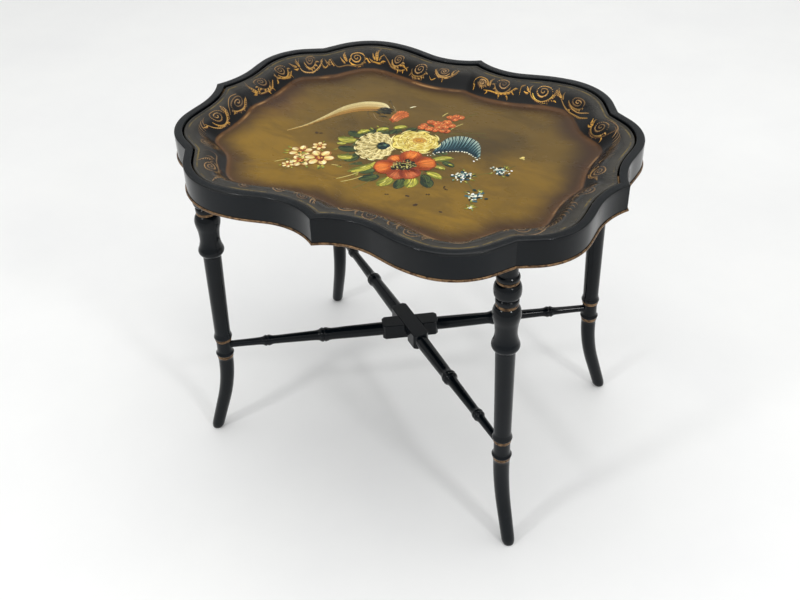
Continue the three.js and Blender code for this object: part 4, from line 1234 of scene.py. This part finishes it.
def paintPetals():
    # the flowers from back to front, so that later strokes lie over earlier ones
    work, c = Brushwork(floorPoint, brush["over"]), bouquet
    paintPlume(work)
    paintBlueFlower(work)
    for x, y, size in c["blossoms"]:
        work.dabs(x + 0.8, y - 1.4, size, c["blossomShade"], stretch=1.0)
        around = np.linspace(0, 2 * math.pi, 5, endpoint=False) + rng.uniform(0, 1)
        work.dabs(x + 0.5 * size * np.cos(around), y + 0.5 * size * np.sin(around), 0.5 * size, c["coral"],
                  c["blossomEdge"])
        work.add(flick(x + 0.3 * size * np.cos(around), y + 0.3 * size * np.sin(around) + 1,
                       np.degrees(around), size * 0.6, 0.2), 1.3,
                 c["blossomLight"], c["coral"])
        work.dabs(x, y, 0.14 * size, c["blossomEye"])
    paintCreamFlower(work)
    paintRose(work)
    paintAnemone(work)
    for x, y, size in c["smallFlowers"]:
        around = np.linspace(0, 360, 6, endpoint=False) + rng.uniform(0, 60)
        start = np.radians(around)
        startX, startY = x + 0.3 * size * np.cos(start), y + 0.3 * size * np.sin(start)
        work.add(flick(startX, startY, around, size * 0.8, 0.0), size * 0.72, c["smallShade"],
                 c["smallShadeEnd"], "dab", 0.08)
        work.add(flick(startX, startY, around, size * 0.7, 0.1), size * 0.56, c["smallRoot"], c["smallTip"],
                 "dab", 0.05)
        work.add(flick(startX, startY, around + 8, size * 0.7, 0.12), size * 0.26, c["yellow"], c["ivory"],
                 "leaf", 0.05)
        work.dabs(x + rng.normal(0, size * 0.16, 12), y + rng.normal(0, size * 0.16, 12), size * 0.15,
                  c["smallEye"])
        work.dabs(x + rng.normal(0, size * 0.12, 5), y + rng.normal(0, size * 0.12, 5), size * 0.06,
                  c["smallEyeDot"])
        turn = rng.uniform(0, 360, 6)
        work.add(flick(x + size * 1.05 * np.cos(np.radians(turn)), y + size * 1.05 * np.sin(np.radians(turn)),
                       turn, size * 0.5, 0.2),
                 size * 0.18, c["lime"], c["moss"])
    for x, y, size, count in c["berries"]:
        spread = np.array([[0.87, 0.5], [-0.5, 0.87]]) * [[size * 0.56], [size * 0.5]]
        for number, radius, tone in ((count, 2.6, c["teal"]), (count, 2.0, c["slate"]),
                                     (count // 2, 1.3, c["mist"]),
                                     (count + 6, 1.35, c["white"])):
            spot = rng.normal(0, 0.72, (number, 2)) @ spread
            work.dabs(x + spot[:, 0], y + spot[:, 1], radius * rng.uniform(0.7, 1.15, number), tone)
        turn = rng.uniform(0, 360, 6)
        work.add(flick(x + size * 0.8 * np.cos(np.radians(turn)), y + size * 0.8 * np.sin(np.radians(turn)),
                       turn + 20, 7, 0.2), 2.2,
                 c["lime"], c["moss"])
    work.dabs([168, 166, 171], [43, 40, 39], [2.6, 1.8, 1.6], c["bud"])
    work.build("painted_flowers", "painted_tray", brushPaint)


paintLeaves()
paintPetals()


# gilt scrolls on the border: the way round and the inset in mm, and a glow from 0 to 1

gilt = {
    # the front's factor on the glow is painted shade for the near wall
    "dull": (120, 99, 76), "bright": (222, 164, 62), "shadow": (44, 20, 12), "low": 50.0, "high": 18.0,
        "swell": 1.2, "frontShift": -4.0, "frontPaintedShade": 0.4,
    # way round, inset, half width, half height, hand, glow
    "scrolls": ((167, 40, 13, 12, 1, 0.5), (253, 42, 16, 8, 1, 0.5), (315, 39, 15, 13, 1, 0.9),
                (381, 34, 13, 13, -1, 0.5),
                (418, 40, 7, 5, 1, 0.4), (490, 35, 10, 8, -1, 0.35), (533, 40, 13, 12, 1, 0.4),
                (582, 38, 10, 10, 1, 0.5),
                (657, 42, 14, 10, 1, 0.95), (739, 33, 9, 13, 1, 0.6), (793, 38, 12, 11, 1, 0.6),
                (845, 35, 13, 12, -1, 0.5),
                (30, 40, 13, 11, -1, 0.35)),
    "leftScrolls": ((915, 42, 22, 9, -1, 0.3), (972, 38, 15, 13, 1, 0.7), (1056, 40, 13, 11, -1, 0.3)),
    # runs of way round and inset, then width and glow
    "sweeps": (
        (((203, 44), (222, 53), (250, 57), (272, 53), (286, 43), (291, 34)), 2.2, 0.8),
        (((212, 40), (232, 50), (252, 52), (266, 48)), 1.3, 0.5),
        (((295, 33), (298, 46), (315, 53), (331, 48), (337, 38)), 3.0, 1.0),
        (((344, 30), (350, 36), (352, 48)), 2.4, 1.0),
        (((358, 38), (368, 46), (384, 49), (398, 48), (411, 49)), 2.8, 1.0),
        (((402, 44), (403, 36), (400, 26)), 2.2, 0.6),
        (((404, 42), (412, 34), (424, 33), (432, 40), (433, 47)), 1.9, 0.8),
        (((468, 30), (470, 38), (480, 44), (494, 45), (503, 40), (506, 34)), 3.2, 0.9),
        (((499, 47), (505, 50), (511, 46)), 1.2, 0.9),
        (((518, 42), (524, 49), (538, 51), (546, 46)), 2.2, 0.7),
        (((556, 44), (566, 51), (586, 51), (600, 44), (614, 35)), 2.2, 0.8),
        (((604, 46), (614, 50), (626, 49), (636, 50)), 2.4, 1.0),
        (((641, 42), (648, 51), (664, 52), (678, 49), (694, 48), (700, 40), (702, 30)), 2.0, 0.9),
        (((704, 34), (710, 44), (718, 48)), 2.2, 0.8),
        (((718, 36), (724, 45), (736, 52), (752, 50), (758, 42), (755, 26)), 2.3, 0.8),
        (((775, 46), (786, 52), (802, 49), (812, 44), (818, 48)), 2.3, 0.9),
        (((824, 42), (838, 50), (852, 50), (866, 48), (872, 40), (868, 28), (862, 18)), 2.2, 0.9),
        (((142, 30), (146, 42), (156, 51), (172, 52), (182, 46)), 2.2, 0.8),
        (((138, 34), (150, 24), (166, 22), (180, 26)), 1.5, 0.4),
        (((14, 40), (24, 50), (44, 51), (60, 44)), 1.8, 0.4),
    ),
    "leftSweeps": ((((893, 46), (912, 52), (928, 50), (941, 46)), 2.0, 0.7),
                   (((900, 34), (916, 28), (934, 34), (950, 47)), 1.6, 0.4),
                   (((948, 26), (950, 40), (960, 49), (978, 53), (994, 47), (1003, 36)), 2.8, 0.85)),
    # root, angle, length, width and glow
    "leaves": ((180, 44, -30, 14, 3, 1), (182, 42, -60, 9, 2.4, 0.9), (180, 46, 5, 9, 2.4, 0.9),
               (152, 50, 120, 7, 2, 0.7),
               (284, 44, -60, 20, 3, 0.9), (288, 42, -35, 12, 2, 0.7), (280, 46, -80, 12, 2, 0.7),
               (262, 55, 160, 9, 2, 0.7),
               (336, 42, -60, 11, 3, 1), (338, 44, -20, 8, 2.6, 1), (336, 40, -100, 11, 2, 0.8),
               (296, 50, 170, 6, 2, 0.9),
               (362, 42, 200, 8, 2.4, 1), (366, 45, 150, 6, 2, 1), (372, 50, 120, 6, 2.4, 1),
               (384, 50, 100, 5, 2.4, 0.9),
               (404, 49, 60, 5, 2, 1), (402, 42, -95, 16, 2.6, 0.7), (404, 42, -40, 9, 2, 0.8),
               (432, 46, 110, 8, 2.8, 0.9),
               (470, 40, -120, 11, 2.2, 0.7), (474, 42, -100, 15, 2.2, 0.6), (488, 46, 100, 5, 2.6, 1),
               (500, 42, -70, 12, 2, 0.7),
               (560, 47, 160, 6, 2.2, 1), (566, 50, 140, 6, 2.2, 0.9), (574, 52, 110, 5, 2.2, 0.9),
               (572, 46, 175, 13, 2.4, 0.95),
               (524, 50, 120, 5, 2, 0.7), (534, 52, 90, 4, 2, 0.7), (544, 49, 60, 5, 2, 0.6),
               (620, 47, -90, 23, 4.2, 1), (616, 47, -120, 12, 2.6, 0.9), (624, 46, -60, 12, 2.6, 0.9),
               (628, 48, -30, 9, 2.2, 0.9),
               (612, 49, -160, 8, 2.2, 0.9), (634, 50, -50, 8, 2.2, 0.9), (676, 44, -105, 20, 4.2, 1),
               (680, 46, -70, 12, 2.6, 0.8),
               (672, 46, -140, 8, 2.2, 0.8), (700, 46, -75, 12, 2.2, 0.7), (706, 44, -60, 14, 2.4, 0.7),
               (714, 47, -50, 9, 2.2, 0.8),
               (720, 42, -110, 12, 2.2, 0.6), (757, 44, -85, 18, 2.8, 0.9), (762, 43, -45, 14, 2.8, 0.8),
               (760, 46, -10, 9, 2.4, 0.9),
               (806, 46, -45, 12, 2.6, 0.7), (812, 46, -100, 10, 2.2, 0.5), (816, 46, 30, 7, 2.6, 0.8),
               (783, 50, 130, 6, 2.2, 0.9),
               (866, 46, -80, 20, 3, 0.9), (868, 46, -40, 8, 2.8, 1), (864, 48, -130, 9, 2.4, 0.9),
               (870, 47, 0, 6, 3.2, 1),
               (838, 50, 120, 5, 2.2, 0.9), (848, 51, 90, 4, 2.2, 0.9), (14, 44, 200, 9, 2.2, 0.4),
               (60, 46, -30, 10, 2.2, 0.4)),
    "leftLeaves": ((952, 44, -100, 17, 3.6, 0.9), (956, 46, -130, 10, 2.6, 0.7), (968, 51, 130, 6, 2.2, 0.8),
                   (1000, 42, -20, 12, 2.4, 0.6),
                   (936, 46, 20, 8, 2.4, 0.7)),
    "fans": ((134, 50, -1), (1006, 50, 1)),
}


def giltTone(inset, glow):
    # dull gold to bright gold by the inset's share of the border, times the glow
    share = (np.clip((inset - gilt["high"]) / (gilt["low"] - gilt["high"]), 0.1, 1) * glow)[..., None]
    return np.array(gilt["dull"]) * (1 - share) + np.array(gilt["bright"]) * share


def addGilt(work, curves, width, glow, shape="comma"):
    # a dark stroke set off a little to one side, and the gold stroke over it
    width = np.asarray(width) * gilt["swell"]
    work.add(curves + [0.3, 1.1], width * 0.9, gilt["shadow"], gilt["shadow"], shape, 0.1)
    work.add(curves, width, giltTone(curves[:, 0, 1], glow), giltTone(curves[:, -1, 1], glow), shape, 0.14)


def paintScroll(work, way, inset, across, down, hand, glow):
    # a spiral of two turns in fine lines, with a thick stroke and lobes under its lower side
    angle = math.radians(190) - 2 * math.pi * 2.1 * np.linspace(0, 1, brush["spiralSteps"])
    reach = 1 - 0.93 * np.linspace(0, 1, brush["spiralSteps"]) ** 0.8
    spiral = np.stack([way + hand * across * reach * np.cos(angle), inset - down * reach * np.sin(angle)],
                      -1)[None]
    half = spiral.shape[1] // 2
    addGilt(work, spiral[:, :half + 1], 1.5, glow * 0.7, "line")
    addGilt(work, spiral[:, half:], 1.2, glow * 0.75, "line")
    bowl = np.radians(np.linspace(196, 344, 16))
    under = np.stack([way + hand * across * 1.12 * np.cos(bowl), inset - down * 1.12 * np.sin(bowl)],
                     -1)[None]
    addGilt(work, under, 2.8, min(1, glow * 1.2), "leaf")
    place = np.radians(np.linspace(200, 300, 5))
    x, y = way + hand * across * 1.1 * np.cos(place), inset - down * 1.1 * np.sin(place)
    addGilt(work, flick(x, y, 90 + hand * np.linspace(86, 40, 5), rng.uniform(4.0, 6.5, 5), 0.25 * hand), 2.4,
            glow)


def paintMotifs(work, scrolls, sweeps, leaves, place, hand, shift):
    # place turns a way round into its spot; hand is -1 where the run is mirrored
    # painted shade: the mirrored gilt on the front wall is dimmed, since that wall faces away from the lamps
    # and is seen at a grazing angle
    fade = 1 if hand > 0 else gilt["frontPaintedShade"]
    for way, inset, across, down, side, glow in scrolls:
        paintScroll(work, place(way), inset + shift, across, down, side * hand, glow * fade)
    for keys, width, glow in sweeps:
        curve = smoothRun(keys, 6)
        addGilt(work, np.stack([place(curve[:, 0]), curve[:, 1] + shift], -1)[None], width, glow * fade)
    for way, inset, angle, length, width, glow in leaves:
        turned = angle if hand > 0 else 180 - angle
        addGilt(work, flick(place(way), inset + shift, turned, length, 0.16 * hand), width, glow * fade)
        addGilt(work, flick(place(way), inset + shift, turned + 16 * hand, length * 0.7, 0.2 * hand),
                width * 0.6, glow * fade * 0.8)


def paintPanels():
    # the motifs as placed, and those of the first 700 mm mirrored along the front, dimmed there as painted
    # shade
    work = Brushwork(borderPoint, brush["under"])
    whole = roundLength
    paintMotifs(work, gilt["scrolls"], gilt["sweeps"], gilt["leaves"], lambda way: way, 1, 0)
    paintMotifs(work, gilt["leftScrolls"], gilt["leftSweeps"], gilt["leftLeaves"], lambda way: way, 1, 0)
    front = [[row for row in gilt[key] if (row[0] if key != "sweeps" else row[0][0][0]) < 700]
             for key in ("scrolls", "sweeps", "leaves")]
    paintMotifs(work, *front, lambda way: whole - way, -1, gilt["frontShift"])
    for way, inset, hand in gilt["fans"] + tuple((whole - way, inset, -hand) for way, inset,
                                                 hand in gilt["fans"][:1]):
        step = np.arange(0, 17, 1.6)
        addGilt(work, flick(way + hand * step * 4.4, inset - 1.2 * np.abs(step - 8) ** 0.9,
                            -90 - hand * (52 - step), 23 - 0.5 * step, 0.16 * hand),
                1.1, 0.3)
    work.build("gilt_scrolls", "painted_tray", brushPaint)


paintPanels()
print("brushwork made")


# screws and blocks under the tray

screw = {"head": 3.4 * mm, "proud": 0.2 * mm, "ease": 0.35 * mm, "slotHalf": 0.45 * mm, "slotDepth": 1.1 * mm,
         "sides": 40, "rings": 14,
         "slotSoft": 0.12 * mm, "rimUp": 2 * mm}


def makeScrewHead(node):
    # a flat head whose face drops into a straight slot: height is a function of x and y on a round grid
    low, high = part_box(node)
    middle = [(low.x + high.x) / 2, (low.y + high.y) / 2]
    radius = np.concatenate([np.linspace(0.02, 1, screw["rings"]), [1.0]]) * screw["head"]
    angle = np.linspace(0, 2 * math.pi, screw["sides"], endpoint=False)
    x, y = radius[:, None] * np.cos(angle), radius[:, None] * np.sin(angle)
    turn = 730 * middle[0] + 310 * middle[1]  # each slot stands at its own angle
    off = np.abs(x * math.sin(turn) + y * math.cos(turn))
    slot = np.clip((screw["slotHalf"] + screw["slotSoft"] - off) / (2 * screw["slotSoft"]), 0,
                   1) * screw["slotDepth"]
    z = low.z - screw["proud"] + screw["ease"] * (radius[:, None] / screw["head"]) ** 6 + slot
    z[-1] = low.z + screw["rimUp"]
    slotted = np.stack([x + middle[0], y + middle[1], z], -1)
    back = np.stack([x[0] * 0 + middle[0] + 0.3 * x[-1], middle[1] + 0.3 * y[-1], z[-1] * 0 + low.z + 3 * mm],
                    -1)
    skin = closedGrid(np.concatenate([slotted, back[None]]))
    addPiece("slotted_" + node, skin, steel, "stand", [node], 30)


for node in sorted(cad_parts):
    if node.startswith("screw_"):
        makeScrewHead(node)
    elif "_block_" in node:
        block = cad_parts[node]
        block.data.materials.clear()
        block.data.materials.append(softwood)
print("screws and blocks made")


# camera, floor and light

view = {
    "azimuth": 29.53, "elevation": 38.06, "roll": -1.62, "distance": 1.7084, "aim": (-0.0175, 0.0, 0.2305),
        "lens": 46.395,
}


def makeCamera():
    # the aim plus distance along a direction of azimuth and elevation, rolled about it
    az, el, roll = (math.radians(view[key]) for key in ("azimuth", "elevation", "roll"))
    back = np.array([math.sin(az) * math.cos(el), -math.cos(az) * math.cos(el), math.sin(el)])
    right = np.array([math.cos(az), math.sin(az), 0.0])
    up = np.cross(back, right)
    turnedRight = math.cos(roll) * right + math.sin(roll) * up
    turnedUp = math.cos(roll) * up - math.sin(roll) * right
    place = np.array(view["aim"]) + back * view["distance"]
    matrix = np.eye(4)
    matrix[:3, 0], matrix[:3, 1], matrix[:3, 2], matrix[:3, 3] = turnedRight, turnedUp, back, place
    data = bpy.data.cameras.new("camera")
    data.lens, data.sensor_width = view["lens"], 36
    camera = bpy.data.objects.new("camera", data)
    bpy.context.scene.collection.objects.link(camera)
    camera.matrix_world = Matrix(matrix.tolist())
    bpy.context.scene.camera = camera


def makeFloor():
    # a floor that curves up into a wall far behind
    s = np.linspace(0, 1, 60)
    line = np.where(s[:, None] < 0.7, np.stack([-4 + s * 10, s * 0], -1),
                    np.stack([3 + 1.2 * np.sin((s - 0.7) / 0.3 * math.pi / 2),
                              1.2 - 1.2 * np.cos((s - 0.7) / 0.3 * math.pi / 2)], -1))
    line = np.concatenate([line, [[4.2, 5]]])
    wide = np.linspace(-6, 6, 12)
    grid = np.stack([np.broadcast_to(wide, (len(line), 12)), np.broadcast_to(line[:, :1], (len(line), 12)),
                     np.broadcast_to(line[:, 1:], (len(line), 12))], -1)
    mesh = buildMesh("studio_floor", grid.reshape(-1, 3), gridQuads(len(line), 12, False), sharpAngle=80)
    floor = bpy.data.objects.new("studio_floor", mesh)
    bpy.context.scene.collection.objects.link(floor)
    m = Mixer("paleFloor")
    shade = m.mix(m.span(m.noise(2.5, 5), 0.3, 0.7), paint(248, 248, 247), paint(243, 243, 243))
    mesh.materials.append(m.finish(shade, 0.55))


def addLight(name, place, aim, size, power):
    # a square lamp turned so that it faces the aim
    data = bpy.data.lights.new(name, "AREA")
    data.shape, data.size, data.size_y, data.energy = "RECTANGLE", size, size, power
    lamp = bpy.data.objects.new(name, data)
    bpy.context.scene.collection.objects.link(lamp)
    lamp.location = place
    lamp.rotation_euler = (Vector(aim) - Vector(place)).to_track_quat("-Z", "Y").to_euler()


# place, aim, size in metres and power in watts of each lamp
studio = {
    "sky": (0.99, 1.0, 0.995, 1), "skyStrength": 0.66,
    "lamps": {"left_lamp": ((-0.72, -1.78, 1.9), (0, 0, 0.4), 0.26, 9),
              "right_lamp": ((1.75, -0.81, 1.9), (0, 0, 0.4), 0.26, 9),
              "overhead": ((0.1, 0.3, 3.4), (0, 0, 0), 4.0, 54)},
}


def makeStudio():
    # an even sky and the lamps
    world = bpy.data.worlds.new("studio")
    world.use_nodes = True
    background = world.node_tree.nodes["Background"]
    background.inputs["Color"].default_value = studio["sky"]
    background.inputs["Strength"].default_value = studio["skyStrength"]
    bpy.context.scene.world = world
    bpy.context.scene.view_settings.view_transform = "Standard"
    for name, lamp in studio["lamps"].items():
        addLight(name, *lamp)


makeCamera()
makeFloor()
makeStudio()
print("camera, floor and lights made")
